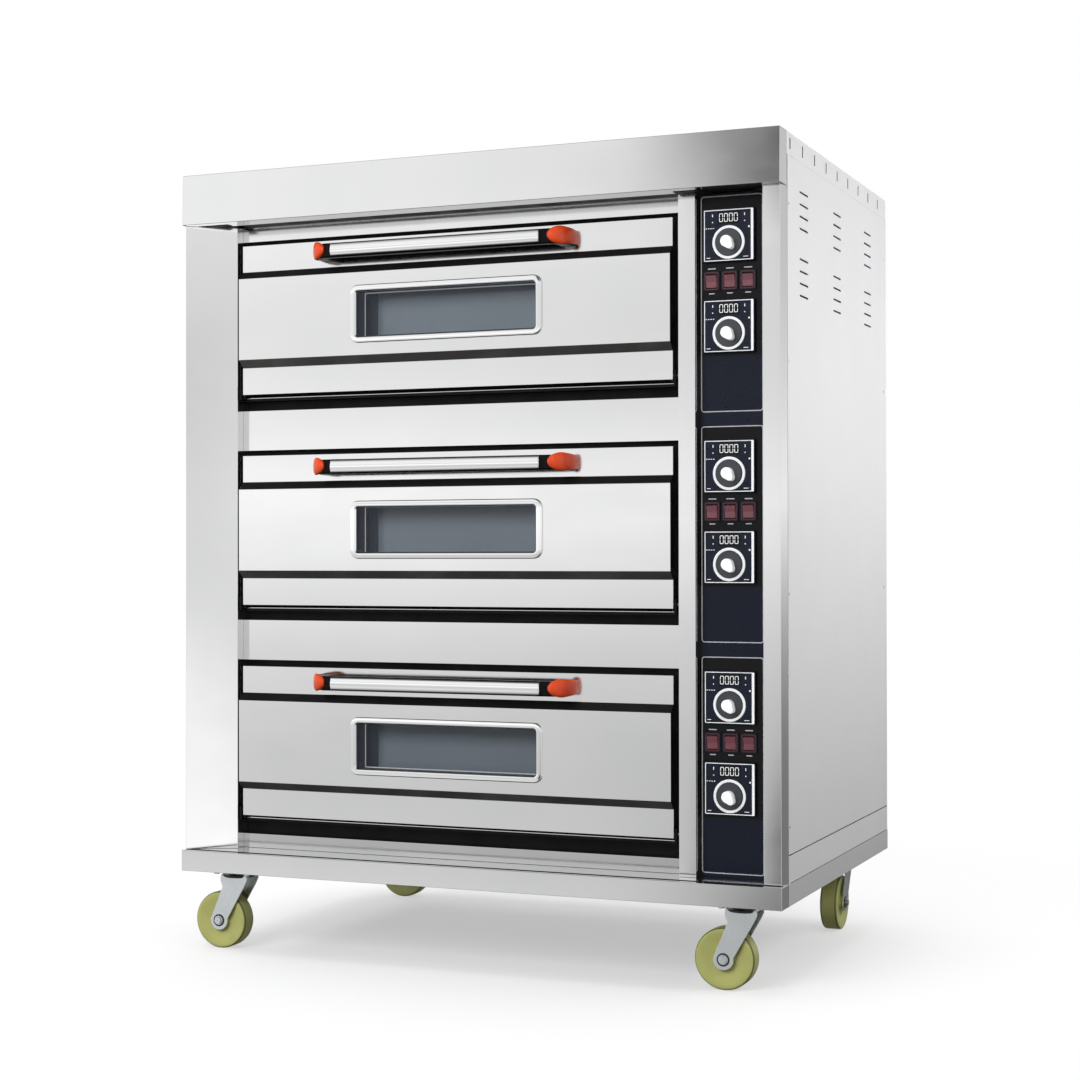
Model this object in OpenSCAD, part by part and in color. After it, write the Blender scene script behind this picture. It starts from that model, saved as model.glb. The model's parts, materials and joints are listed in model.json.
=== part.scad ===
// Three-deck electric bakery oven on swivel casters.
// +X is to the right of a person facing the doors, +Y runs from the doors to the back, +Z is up.
// The origin is on the floor, under the centre of the cabinet.

/* [Cabinet] */
// Width over the side panels
oven_w = 1220; // [1200:5:1260]
// Depth from the hood front to the rear panel
oven_d = 820; // [810:5:900]
// Height of the body, from the underside of the base to the roof
body_h = 1370; // [1366:1:1390]
// Height of the casters, from the floor to the base
caster_h = 158; // [154:1:170]
// Height of the base rail
base_h = 40; // [38:1:44]
// Height of the hood above the top deck
hood_h = 98; // [90:1:102]
// Depth of the side returns that fold back from the hood, base and columns
return_d = 46; // [40:1:50]

/* [Doors] */
// Width of each door
door_w = 898; // [880:1:900]
// Height of each door
door_h = 295; // [290:1:297]
// Distance from the cabinet centre to the door centre, to the left
door_left = 58; // [52:1:62]
// Height of the lowest door above the underside of the base
first_door_z = 107; // [104:1:112]
// Distance from one deck to the next
deck_pitch = 415.5; // [412:0.5:418]
// Length of the door's glass opening
window_w = 379; // [340:1:400]
// Height of the door's glass opening
window_h = 91; // [80:1:110]
// Length of the steel tube on each handle
handle_tube_l = 432; // [380:1:460]

/* [Chambers] */
// Inside width of each baking chamber
chamber_w = 862; // [850:1:870]
// Inside depth of each baking chamber
chamber_d = 684; // [660:1:700]
// Inside height of each baking chamber
chamber_h = 230; // [220:1:234]

/* [Controls] */
// Side of the square temperature controllers
controller_size = 96; // [92:1:96]
// Width of a rocker switch bezel
switch_w = 31; // [29:1:32]
// Diameter of the dial behind each temperature knob
dial_d = 49; // [44:1:54]

/* [Casters] */
// Diameter of the wheels
wheel_d = 112; // [100:1:114]
// Width of the wheels
wheel_w = 36; // [30:1:38]
// Distance the wheel trails behind its swivel pin
caster_trail = 33; // [28:1:36]

/* [Hidden] */
$fn = 48;

// Sheet thicknesses and a small distance that makes cuts run past a face
sheet = 1.5;
thick_sheet = 2;
cut = 1;
// Radial running clearance of every pin in its hole
running = 0.05;

// Levels above the floor
roof_z = caster_h + body_h;
base_top_z = caster_h + base_h;
hood_z = roof_z - hood_h;
plinth_top_z = caster_h + 89;
roof_flange_h = 41;
panel_top_z = roof_z - roof_flange_h;
sill_top_z = caster_h + 68;
// Lowest row of louvres, and the height of each slot
louvre_z = caster_h + 1086;
louvre_h = 6;
// Supply cable hole
cable_x = 500;
cable_h = 150;
cable_r = 16;
// Gap between a door and the fascia above it, and the fascia's height
fascia_gap = 11;
fascia_h = 79.5;

// Depths behind the front plane of the hood
column_d = 16;
splay_d = 63;
mullion_d = 53;
fascia_d = 85;
flange_d = 102;
door_back_d = 98;
panel_d = 75;
main_face_d = 45;
strip_d = 61;

// Widths measured from the cabinet centre
half_w = oven_w / 2;
door_x = -door_left;
bay_left = door_x - door_w / 2 - 13;
bay_right = door_x + door_w / 2 + 13;
mullion_w = 32;
mullion_right = bay_right + mullion_w;
right_column_left = half_w - 38;
control_x = (mullion_right + right_column_left) / 2 - 9;

// Door section, heights above the door's lower edge
lower_strip_h = 53;
main_low_h = 68;
main_high_h = door_h - 67;
upper_strip_h = door_h - 52.5;
handle_h = door_h - 27;
window_z = (main_low_h + main_high_h) / 2 - 1;

// Door hinge
hinge_d = 68;
hinge_h = 8;
hinge_r = 4;
hinge_plate_t = 5;
hinge_gap = 2;
pin_l = 9;

// Chamber
chamber_low_h = 38;
rail_h = 20;
hearth_t = 8;
liner_back_d = flange_d + chamber_d;
plug_w = 830;
plug_h = 196;
plug_low_h = 52;
plug_t = 22;

// Controls, heights above each door's lower edge
upper_controller_h = 257;
lower_controller_h = 93.5;
switch_row_h = 176;
knob_drop = 13;
controller_front_d = panel_d - 8;
shaft_r = 3;
shaft_l = 12;
switch_pitch = 34;
switch_h = 36;
rocker_r = 13;
rocker_w = 20;
rocker_tilt = 7;
rocker_pivot_d = panel_d + 5;
trunnion_r = 1.5;

// Casters
caster_x = 521;
caster_front_d = 71;
caster_rear_d = oven_d - 70;
axle_r = 5;
kingpin_r = 6;
plate_t = 4;
race_h = 6;
fork_gap = 1;
fork_t = 3;
ear_gap = wheel_w + 5;
axle_z = wheel_d / 2;

// Turns a depth behind the hood front into a Y position
function y_at(d) = d - oven_d / 2;
// Floor height of the lower edge of door 1 (upper), 2 (middle) or 3 (lower)
function door_z(n) = caster_h + first_door_z + (3 - n) * deck_pitch;
// Floor height of the lower edge of the fascia over door n
function fascia_z(n) = door_z(n) + door_h + fascia_gap;

stainless = "Gainsboro";
painted = "WhiteSmoke";
zinc = "LightSteelBlue";
black = [0.09, 0.10, 0.12];
orange = [0.93, 0.30, 0.13];

// Box given by its lowest corner and highest corner
module span(low, high) {
    translate(low) cube(high - low);
}

// Outline of [depth, height] points, pulled along X from x1 to x2
module along_x(x1, x2, points) {
    translate([x1, -oven_d / 2, 0])
        rotate([90, 0, 90])
            linear_extrude(x2 - x1) polygon(points);
}

// Cylinder along X, centred on a depth and height
module pin_x(x1, x2, d, z, r) {
    translate([x1, y_at(d), z]) rotate([0, 90, 0]) cylinder(r = r, h = x2 - x1);
}

// Cylinder along Y from depth d1 to d2
module pin_y(x, z, d1, d2, r) {
    translate([x, y_at(d1), z]) rotate([-90, 0, 0]) cylinder(r = r, h = d2 - d1);
}

// ---------------------------------------------------------------- cabinet

// Base: an upside-down tray with four caster channels and two cross-members
module base_frame() {
    channel_w = 126;
    channel_d = 110;
    web_t = 3;
    member_x = 200;
    member_rise = 8;
    y_centres = [y_at(caster_front_d), y_at(caster_rear_d)];
    color(stainless) union() {
        difference() {
            span([-half_w, y_at(0), caster_h], [half_w, y_at(oven_d), base_top_z]);
            span([-half_w + thick_sheet, y_at(thick_sheet), caster_h - cut],
                 [half_w - thick_sheet, y_at(oven_d - thick_sheet), base_top_z - thick_sheet]);
        }
        for (x = [-caster_x, caster_x])
            for (y = y_centres) {
                span([x - channel_w / 2, y - channel_d / 2, caster_h],
                     [x + channel_w / 2, y + channel_d / 2, caster_h + web_t]);
                for (side = [-1, 1])
                    translate([x + side * (channel_w / 2 - web_t / 2), y, caster_h + base_h / 2])
                        cube([web_t, channel_d, base_h - thick_sheet], center = true);
            }
        for (x = [-member_x, member_x])
            span([x - web_t / 2, y_at(thick_sheet), caster_h + member_rise],
                 [x + web_t / 2, y_at(oven_d - thick_sheet), base_top_z - thick_sheet]);
    }
}

// Four caster mounting plates, each with its bearing race, kingpin and four bolt heads
module caster_plates() {
    plate_x = 92;
    plate_y = 82;
    bolt_inset = 12;
    bolt_r = 6.5;
    bolt_h = 5;
    race_r = 27;
    kingpin_drop = 22;
    kingpin_nut_h = 7;
    color(zinc)
        for (x = [-caster_x, caster_x])
            for (y = [y_at(caster_front_d), y_at(caster_rear_d)])
                translate([x, y, caster_h]) {
                    translate([-plate_x / 2, -plate_y / 2, -plate_t])
                        cube([plate_x, plate_y, plate_t]);
                    translate([0, 0, -plate_t - race_h])
                        cylinder(r1 = race_r - 4, r2 = race_r, h = race_h);
                    translate([0, 0, -kingpin_drop])
                        cylinder(r = kingpin_r, h = kingpin_drop - plate_t);
                    translate([0, 0, -kingpin_drop])
                        cylinder(r = kingpin_r + 3.5, h = kingpin_nut_h, $fn = 6);
                    for (sx = [-1, 1])
                        for (sy = [-1, 1])
                            translate([sx * (plate_x / 2 - bolt_inset), sy * (plate_y / 2 - bolt_inset),
                                       -plate_t - bolt_h])
                                cylinder(r = bolt_r, h = bolt_h, $fn = 6);
                }
}

// Polished hood: a folded tray, open to the back, with a soffit over the doors and controls
module top_hood() {
    hood_half = half_w - 1;
    soffit_rise = 7;
    color(stainless) {
        difference() {
            span([-hood_half, y_at(0), hood_z], [hood_half, y_at(return_d), roof_z]);
            span([-hood_half + thick_sheet, y_at(thick_sheet), hood_z + thick_sheet],
                 [hood_half - thick_sheet, y_at(return_d + cut), roof_z - thick_sheet]);
        }
        span([bay_left, y_at(return_d - thick_sheet), hood_z],
             [right_column_left, y_at(return_d), hood_z + soffit_rise]);
        span([bay_left, y_at(return_d - thick_sheet), hood_z + soffit_rise - thick_sheet],
             [right_column_left, y_at(fascia_d - 1), hood_z + soffit_rise]);
    }
}

// Roof: a shallow cover with vent slots in its side and rear flanges
module roof_cover() {
    slots = 9;
    rear_slots = 13;
    rear_pitch = 84;
    slot_w = 7;
    slot_low = 12;
    slot_h = 20;
    first_slot = 66;
    last_slot = oven_d - 76;
    roof_half = half_w - 1.5;
    color(painted) difference() {
        span([-roof_half, y_at(return_d), panel_top_z], [roof_half, y_at(oven_d), roof_z]);
        span([-roof_half + sheet, y_at(return_d - cut), panel_top_z - cut],
             [roof_half - sheet, y_at(oven_d - sheet), roof_z - sheet]);
        for (i = [0 : slots - 1])
            translate([-half_w, y_at(first_slot + (last_slot - first_slot) * i / (slots - 1)),
                       panel_top_z + slot_low])
                cube([oven_w, slot_w, slot_h]);
        for (i = [0 : rear_slots - 1])
            translate([(i - (rear_slots - 1) / 2) * rear_pitch - slot_w / 2, y_at(oven_d - 3 * sheet),
                       panel_top_z + slot_low])
                cube([slot_w, 6 * sheet, slot_h]);
    }
}

// Left column: a folded sheet whose face is splayed back towards the doors
module left_column() {
    outer = -half_w + 1;
    inner = bay_left;
    color(stainless)
        translate([0, 0, base_top_z])
            linear_extrude(hood_z - base_top_z)
                polygon([
                    [outer, y_at(return_d + 2)], [outer, y_at(column_d - 2)], [inner, y_at(splay_d)],
                    [inner, y_at(flange_d)], [inner - thick_sheet, y_at(flange_d)],
                    [inner - thick_sheet, y_at(splay_d + 2)],
                    [outer + thick_sheet, y_at(column_d + 2)],
                    [outer + thick_sheet, y_at(return_d + 2)]
                ]);
}

// Mullion between the doors and the controls: a folded channel
module mullion() {
    color(stainless) difference() {
        span([bay_right, y_at(mullion_d), base_top_z], [mullion_right, y_at(flange_d), hood_z]);
        span([bay_right + thick_sheet, y_at(mullion_d + thick_sheet), base_top_z - cut],
             [mullion_right - thick_sheet, y_at(flange_d + cut), hood_z + cut]);
    }
}

// Right column: a folded channel beside the controls, its outer side splayed back
module right_column() {
    outer = half_w - 1;
    fold = half_w - 6;
    front = column_d + 3;
    t = thick_sheet;
    color(stainless)
        translate([0, 0, base_top_z])
            linear_extrude(hood_z - base_top_z)
                polygon([
                    [right_column_left, y_at(panel_d)], [right_column_left, y_at(front)],
                    [fold, y_at(front)], [outer, y_at(return_d + 2)], [outer - t, y_at(return_d + 2)],
                    [fold - t, y_at(front + t)], [right_column_left + t, y_at(front + t)],
                    [right_column_left + t, y_at(panel_d)]
                ]);
}

// Louvre slots of one side panel: three columns of two groups of four
module side_louvres(x) {
    slot_l = 58;
    row_step = 22;
    group_step = 121;
    for (d = [158, 402, 652])
        for (group = [0, 1])
            for (row = [0 : 3])
                translate([x - 2 * sheet, y_at(d) - slot_l / 2,
                           louvre_z + group * group_step + row * row_step])
                    cube([4 * sheet, slot_l, louvre_h]);
}

// Side panels, and the plinth strips below them
module side_panels() {
    hem = 12;
    color(painted)
        for (side = [-1, 1]) {
            x_out = side * half_w;
            x_in = side * (half_w - sheet);
            x_hem = side * (half_w - hem);
            low_x = min(x_out, x_in);
            difference() {
                union() {
                    span([low_x, y_at(return_d + 2), plinth_top_z + 2],
                         [low_x + sheet, y_at(oven_d - sheet), panel_top_z - 1]);
                    for (z = [plinth_top_z + 2, panel_top_z - 1 - sheet])
                        span([min(x_out, x_hem), y_at(return_d + 2), z],
                             [max(x_out, x_hem), y_at(oven_d - sheet), z + sheet]);
                    span([min(x_out, x_hem), y_at(return_d + 2), plinth_top_z + 2],
                         [max(x_out, x_hem), y_at(return_d + 2 + sheet), panel_top_z - 1]);
                }
                side_louvres(x_out);
            }
            span([low_x, y_at(return_d + 2), base_top_z],
                 [low_x + sheet, y_at(oven_d - sheet), plinth_top_z]);
        }
}

// Rear panel with louvres over the decks and a hole for the supply cable
module rear_panel() {
    slot_l = 120;
    row_step = 26;
    edge_gap = 1;
    color(painted) difference() {
        span([-half_w + edge_gap, y_at(oven_d - sheet), base_top_z],
             [half_w - edge_gap, y_at(oven_d), panel_top_z]);
        for (x = [-380, 0, 380])
            for (row = [0 : 5])
                translate([x - slot_l / 2, y_at(oven_d - 3 * sheet), louvre_z + row * row_step])
                    cube([slot_l, 6 * sheet, louvre_h]);
        cable_hole();
    }
}

// Hole for the supply cable, low in the rear panel behind the controls
module cable_hole() {
    pin_y(cable_x, caster_h + cable_h, oven_d - 3 * sheet, oven_d + cut, cable_r);
}

// Stainless strips between the doors, and the sill below them
module deck_fascias() {
    bands = [
        [base_top_z, sill_top_z],
        for (n = [2, 3]) [fascia_z(n), fascia_z(n) + fascia_h],
        [fascia_z(1), hood_z + 30]
    ];
    color(stainless)
        for (band = bands)
            difference() {
                span([bay_left, y_at(fascia_d), band[0]], [bay_right, y_at(flange_d), band[1]]);
                span([bay_left - cut, y_at(fascia_d + thick_sheet), band[0] + thick_sheet],
                     [bay_right + cut, y_at(flange_d + cut), band[1] - thick_sheet]);
            }
}

// ---------------------------------------------------------------- chambers

// One chamber: black front flange, liner box, hearth rails, door ledge and hinge plates
module chamber(n) {
    z = door_z(n);
    flange_low = n == 3 ? sill_top_z : fascia_z(n + 1) + fascia_h;
    low = z + chamber_low_h;
    high = low + chamber_h;
    x1 = door_x - chamber_w / 2;
    x2 = door_x + chamber_w / 2;
    rail_w = 14;
    ledge_drop = 12;
    plate_low = z - 10;
    plate_high = z + 18;
    difference() {
        union() {
            span([bay_left, y_at(flange_d), flange_low],
                 [bay_right, y_at(flange_d + thick_sheet), fascia_z(n)]);
            span([x1 - sheet, y_at(flange_d), low - sheet],
                 [x2 + sheet, y_at(liner_back_d + sheet), high + sheet]);
        }
        span([x1, y_at(flange_d - cut), low], [x2, y_at(liner_back_d), high]);
    }
    for (x = [x1, x2 - rail_w])
        span([x, y_at(flange_d + 10), low], [x + rail_w, y_at(liner_back_d), low + rail_h]);
    span([bay_left, y_at(fascia_d - 7), z - ledge_drop],
         [bay_right, y_at(flange_d), z - ledge_drop + thick_sheet]);
    for (side = [-1, 1]) {
        x_in = door_x + side * (door_w / 2 + hinge_gap);
        x_out = x_in + side * hinge_plate_t;
        low_x = min(x_in, x_out);
        high_x = max(x_in, x_out);
        difference() {
            span([low_x, y_at(hinge_d - 9), plate_low], [high_x, y_at(flange_d), plate_high]);
            pin_x(low_x - cut, high_x + cut, hinge_d, z + hinge_h, hinge_r + running);
        }
    }
}

module oven_chambers() {
    color(black) for (n = [1 : 3]) chamber(n);
}

// Mineral wool slabs round the three chambers
module insulation() {
    x1 = door_x - chamber_w / 2 - sheet;
    x2 = door_x + chamber_w / 2 + sheet;
    left = -half_w + 14;
    front = y_at(flange_d + thick_sheet + 1);
    back = y_at(liner_back_d + sheet);
    low = base_top_z + 2;
    high = hood_z + 46;
    levels = [
        [low, door_z(3) + chamber_low_h - sheet],
        for (n = [3, 2])
            [door_z(n) + chamber_low_h + chamber_h + sheet, door_z(n - 1) + chamber_low_h - sheet],
        [door_z(1) + chamber_low_h + chamber_h + sheet, high]
    ];
    color("Khaki") {
        for (level = levels) span([x1, front, level[0]], [x2, back, level[1]]);
        span([left, front, low], [x1, back, high]);
        span([x2, front, low], [mullion_right, back, high]);
        span([left, back, low], [mullion_right, y_at(oven_d - 6), high]);
    }
}

// Steel hearth plates that the trays stand on
module hearth_plates() {
    half = chamber_w / 2 - 2;
    front_gap = 24;
    back_gap = 4;
    color("DimGray")
        for (n = [1 : 3]) {
            z = door_z(n) + chamber_low_h + rail_h;
            span([door_x - half, y_at(flange_d + front_gap), z],
                 [door_x + half, y_at(liner_back_d - back_gap), z + hearth_t]);
        }
}

// One hairpin heating rod, bent at the front and fixed in the chamber's back wall
module heating_hairpin(x, z) {
    bend_r = 34;
    rod_r = 4;
    bend_d = flange_d + 80;
    translate([x, y_at(bend_d), z])
        rotate([0, 0, 180])
            rotate_extrude(angle = 180) translate([bend_r, 0]) circle(r = rod_r);
    for (side = [-1, 1])
        pin_y(x + side * bend_r, z, bend_d, liner_back_d, rod_r);
}

// Three rods over and three rods under each hearth
module heating_elements() {
    color("DarkSlateGray")
        for (n = [1 : 3])
            for (h = [chamber_low_h + 10, chamber_low_h + chamber_h - 14])
                for (i = [-1 : 1])
                    heating_hairpin(door_x + i * 260, door_z(n) + h);
}

// ---------------------------------------------------------------- controls

// Black control panel, with nine switch bezels clipped into it
module control_panel() {
    controller_cut = controller_size - 4;
    color(black) {
        difference() {
            span([mullion_right, y_at(panel_d), base_top_z],
                 [right_column_left, y_at(panel_d + thick_sheet), hood_z]);
            for (n = [1 : 3]) {
                for (h = [upper_controller_h, lower_controller_h])
                    translate([control_x, y_at(panel_d), door_z(n) + h])
                        cube([controller_cut, 10, controller_cut], center = true);
                for (i = [-1 : 1])
                    translate([control_x + i * switch_pitch, y_at(panel_d), door_z(n) + switch_row_h])
                        cube([switch_w - 4, 10, switch_h - 4], center = true);
            }
        }
        for (n = [1 : 3])
            for (i = [-1 : 1])
                switch_bezel(control_x + i * switch_pitch, door_z(n) + switch_row_h);
    }
}

// Switch body with a rim on the panel and two sockets for the rocker's trunnions
module switch_bezel(x, z) {
    rim_t = 3;
    body_d = 24;
    wall = 2;
    aperture_w = rocker_w + 1;
    aperture_h = 2 * rocker_r + 1;
    socket = 1.6;
    difference() {
        union() {
            span([x - switch_w / 2, y_at(panel_d - rim_t), z - switch_h / 2],
                 [x + switch_w / 2, y_at(panel_d), z + switch_h / 2]);
            span([x - switch_w / 2 + wall, y_at(panel_d), z - switch_h / 2 + wall],
                 [x + switch_w / 2 - wall, y_at(panel_d + body_d), z + switch_h / 2 - wall]);
        }
        span([x - aperture_w / 2, y_at(panel_d - rim_t - cut), z - aperture_h / 2],
             [x + aperture_w / 2, y_at(panel_d + body_d - 3), z + aperture_h / 2]);
        pin_x(x - aperture_w / 2 - socket, x + aperture_w / 2 + socket, rocker_pivot_d, z,
              trunnion_r + running);
    }
}

// Temperature controllers: square front, case behind the panel, shaft bore
module thermostats() {
    front_t = panel_d - controller_front_d;
    case_d = 70;
    case_size = controller_size - 6;
    color([0.16, 0.19, 0.24])
        for (n = [1 : 3])
            for (h = [upper_controller_h, lower_controller_h])
                difference() {
                    union() {
                        translate([control_x - controller_size / 2, y_at(controller_front_d),
                                   door_z(n) + h - controller_size / 2])
                            cube([controller_size, front_t, controller_size]);
                        translate([control_x - case_size / 2, y_at(panel_d),
                                   door_z(n) + h - case_size / 2])
                            cube([case_size, case_d, case_size]);
                    }
                    pin_y(control_x, door_z(n) + h - knob_drop, controller_front_d - cut,
                          controller_front_d + shaft_l + 4, shaft_r + running);
                }
}

// Temperature knob: shaft, dial disc, round grip and pointer
module heat_knob(n, h) {
    z = door_z(n) + h - knob_drop;
    disc_back_d = controller_front_d - 1;
    disc_front_d = disc_back_d - 3;
    grip_l = 15;
    grip_r = 11.5;
    pointer_w = 5;
    pointer_l = 15;
    color("White") {
        pin_y(control_x, z, disc_back_d, controller_front_d + shaft_l, shaft_r);
        pin_y(control_x, z, disc_front_d, disc_back_d, dial_d / 2);
        pin_y(control_x, z, disc_front_d - grip_l, disc_front_d, grip_r);
        translate([control_x, y_at(disc_front_d - grip_l), z])
            rotate([0, -45, 0])
                translate([-pointer_w / 2, 0, -pointer_l])
                    cube([pointer_w, grip_l, pointer_l]);
    }
}

// Rocker: a drum segment with a shallow V face, on two trunnions
module rocker(n, i) {
    x = control_x + i * switch_pitch;
    z = door_z(n) + switch_row_h;
    outline = [[-10, rocker_r], [-8, 0], [-10, -rocker_r], [6, -rocker_r], [6, rocker_r]];
    color([0.62, 0.16, 0.20])
        translate([x, y_at(rocker_pivot_d), z])
            rotate([rocker_tilt, 0, 0]) {
                intersection() {
                    rotate([0, 90, 0]) cylinder(r = rocker_r, h = rocker_w, center = true);
                    rotate([90, 0, 90])
                        linear_extrude(rocker_w, center = true) polygon(outline);
                }
                rotate([0, 90, 0]) cylinder(r = trunnion_r, h = rocker_w + 3, center = true);
            }
}

// ---------------------------------------------------------------- doors

// Folded door front, closed at the top, bottom and sides and open at the back
module door_skin(n) {
    z = door_z(n);
    t = thick_sheet;
    x1 = door_x - door_w / 2;
    x2 = door_x + door_w / 2;
    back = door_back_d - t;
    // Keeps the sheet's thickness on the sloping folds
    fold = 1;
    color(stainless) difference() {
        along_x(x1, x2, [
            [strip_d, z], [strip_d, z + lower_strip_h], [main_face_d, z + main_low_h],
            [main_face_d, z + main_high_h], [strip_d, z + upper_strip_h],
            [strip_d, z + door_h], [back, z + door_h], [back, z]
        ]);
        along_x(x1 + t, x2 - t, [
            [strip_d + t, z + t], [strip_d + t, z + lower_strip_h + fold],
            [main_face_d + t, z + main_low_h + fold], [main_face_d + t, z + main_high_h - fold],
            [strip_d + t, z + upper_strip_h - fold], [strip_d + t, z + door_h - t],
            [back + cut, z + door_h - t], [back + cut, z + t]
        ]);
        translate([door_x - window_w / 2, y_at(main_face_d - cut), z + window_z - window_h / 2])
            cube([window_w, 6, window_h]);
        pin_x(x1 - cut, x2 + cut, hinge_d, z + hinge_h, hinge_r);
    }
}

// Door liner: back plate, plug that closes the chamber mouth, window tunnel and hinge pins
module door_liner(n) {
    z = door_z(n);
    x1 = door_x - door_w / 2;
    x2 = door_x + door_w / 2;
    back = door_back_d - thick_sheet;
    tunnel = 2.5;
    tunnel_d = main_face_d + thick_sheet + 5;
    half = window_w / 2;
    low = z + window_z - window_h / 2;
    high = z + window_z + window_h / 2;
    color("Silver") {
        difference() {
            union() {
                span([x1, y_at(back), z], [x2, y_at(door_back_d), z + door_h]);
                span([door_x - plug_w / 2, y_at(door_back_d), z + plug_low_h],
                     [door_x + plug_w / 2, y_at(door_back_d + plug_t), z + plug_low_h + plug_h]);
                span([door_x - half - tunnel, y_at(tunnel_d), low - tunnel],
                     [door_x + half + tunnel, y_at(back + cut), high + tunnel]);
            }
            span([door_x - half, y_at(main_face_d), low],
                 [door_x + half, y_at(door_back_d + plug_t + cut), high]);
        }
        for (side = [-1, 1]) {
            edge = door_x + side * door_w / 2;
            inner_x = edge - side * 30;
            outer_x = edge + side * pin_l;
            block_x = edge - side * (thick_sheet + 0.5);
            pin_x(min(inner_x, outer_x), max(inner_x, outer_x), hinge_d, z + hinge_h, hinge_r);
            span([min(inner_x, block_x), y_at(hinge_d - 4), z + 3],
                 [max(inner_x, block_x), y_at(back), z + hinge_h + 9]);
        }
    }
}

// Rounded rectangle in the XZ plane, from depth d1 to d2
module rounded_plate(x, z, w, h, r, d1, d2) {
    for (sx = [-1, 1])
        for (sz = [-1, 1])
            pin_y(x + sx * (w / 2 - r), z + sz * (h / 2 - r), d1, d2, r);
    span([x - w / 2 + r, y_at(d1), z - h / 2], [x + w / 2 - r, y_at(d2), z + h / 2]);
    span([x - w / 2, y_at(d1), z - h / 2 + r], [x + w / 2, y_at(d2), z + h / 2 - r]);
}

// Chrome frame round the window
module window_frame(n) {
    z = door_z(n) + window_z;
    rim = 10.5;
    lip = 1.5;
    outer_r = 17;
    inner_r = 7;
    front_d = main_face_d - 5;
    color("White") difference() {
        rounded_plate(door_x, z, window_w + 2 * rim, window_h + 2 * rim, outer_r, front_d, main_face_d);
        rounded_plate(door_x, z, window_w - lip, window_h - lip, inner_r, front_d - cut,
                      main_face_d + cut);
    }
}

// Outer pane in the door front and inner pane in the plug
module door_glass(n) {
    z = door_z(n) + window_z;
    pane = 4;
    color([0.45, 0.50, 0.54, 0.6])
        for (d = [main_face_d, door_back_d + 4])
            span([door_x - window_w / 2, y_at(d), z - window_h / 2],
                 [door_x + window_w / 2, y_at(d + pane), z + window_h / 2]);
}

// The feet stop just short of the door's upper strip
cap_h = 29;
handle_body_h = 28;
handle_foot_d = strip_d - 0.1;
handle_nose = handle_tube_l / 2 + 16;
handle_foot = handle_nose + 34;
// The handle sits a little to the left of the door's centre
handle_x = door_x - 7;
handle_front_d = 2;
cap_t = 9;
bar_t = 18;
foot_t = 24;
cap_wall = 4;
tube_r = 10;
bend_steps = 6;

// Quarter ellipse of [x, depth] points from the bar (x0, d0) to the door (x1, d1)
function bend(side, x0, d0, x1, d1) =
    [for (i = [0 : bend_steps])
        let (a = 90 * i / bend_steps)
        [side * (x0 + (x1 - x0) * sin(a)), d1 + (d0 - d1) * cos(a)]];
function reversed(list) = [for (i = [len(list) - 1 : -1 : 0]) list[i]];

// Outer and inner edge of the bent foot on one side
function outer_bend(side, front, x_end) = bend(side, handle_nose, front, x_end, handle_foot_d - 6);

// Level plate made from an outline of [x, depth] points, centred on the handle's height
module handle_plate(n, points, h) {
    translate([handle_x, -oven_d / 2, door_z(n) + handle_h - h / 2])
        linear_extrude(h) polygon(points);
}

// Moulded handle bar with a bent foot at each end, grooved for the tube
module handle_body(n) {
    front = handle_front_d + cap_t;
    outer = handle_foot - cap_wall;
    inner = outer - foot_t;
    color(black) difference() {
        handle_plate(n, concat(
            [[-outer, handle_foot_d]], reversed(outer_bend(-1, front, outer)),
            outer_bend(1, front, outer), [[outer, handle_foot_d], [inner, handle_foot_d]],
            reversed(outer_bend(1, front + bar_t, inner)), outer_bend(-1, front + bar_t, inner),
            [[-inner, handle_foot_d]]
        ), handle_body_h);
        pin_x(handle_x - handle_tube_l / 2, handle_x + handle_tube_l / 2, handle_front_d + tube_r,
              door_z(n) + handle_h, tube_r);
    }
}

// Polished tube in the front of the handle
module handle_tube(n) {
    d = handle_front_d + tube_r;
    z = door_z(n) + handle_h;
    half = handle_tube_l / 2;
    color(stainless) difference() {
        pin_x(handle_x - half, handle_x + half, d, z, tube_r);
        pin_x(handle_x - half - cut, handle_x + half + cut, d, z, tube_r - sheet);
    }
}

// Two caps that wrap the outside of the bent feet
module handle_caps(n) {
    color(orange)
        for (side = [-1, 1])
            handle_plate(n, concat(
                outer_bend(side, handle_front_d, handle_foot),
                [[side * handle_foot, handle_foot_d], [side * (handle_foot - cap_wall), handle_foot_d]],
                reversed(outer_bend(side, handle_front_d + cap_t, handle_foot - cap_wall))
            ), cap_h);
}

// ---------------------------------------------------------------- casters

// Each corner places a caster, which is built trailing towards -X, and turns it about its pin
module front_left_corner() {
    translate([-caster_x, y_at(caster_front_d), 0]) children();
}

module front_right_corner() {
    translate([caster_x, y_at(caster_front_d), 0]) children();
}

module rear_left_corner() {
    translate([-caster_x, y_at(caster_rear_d), 0]) rotate([0, 0, 180]) children();
}

module rear_right_corner() {
    translate([caster_x, y_at(caster_rear_d), 0]) rotate([0, 0, 90]) children();
}

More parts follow.
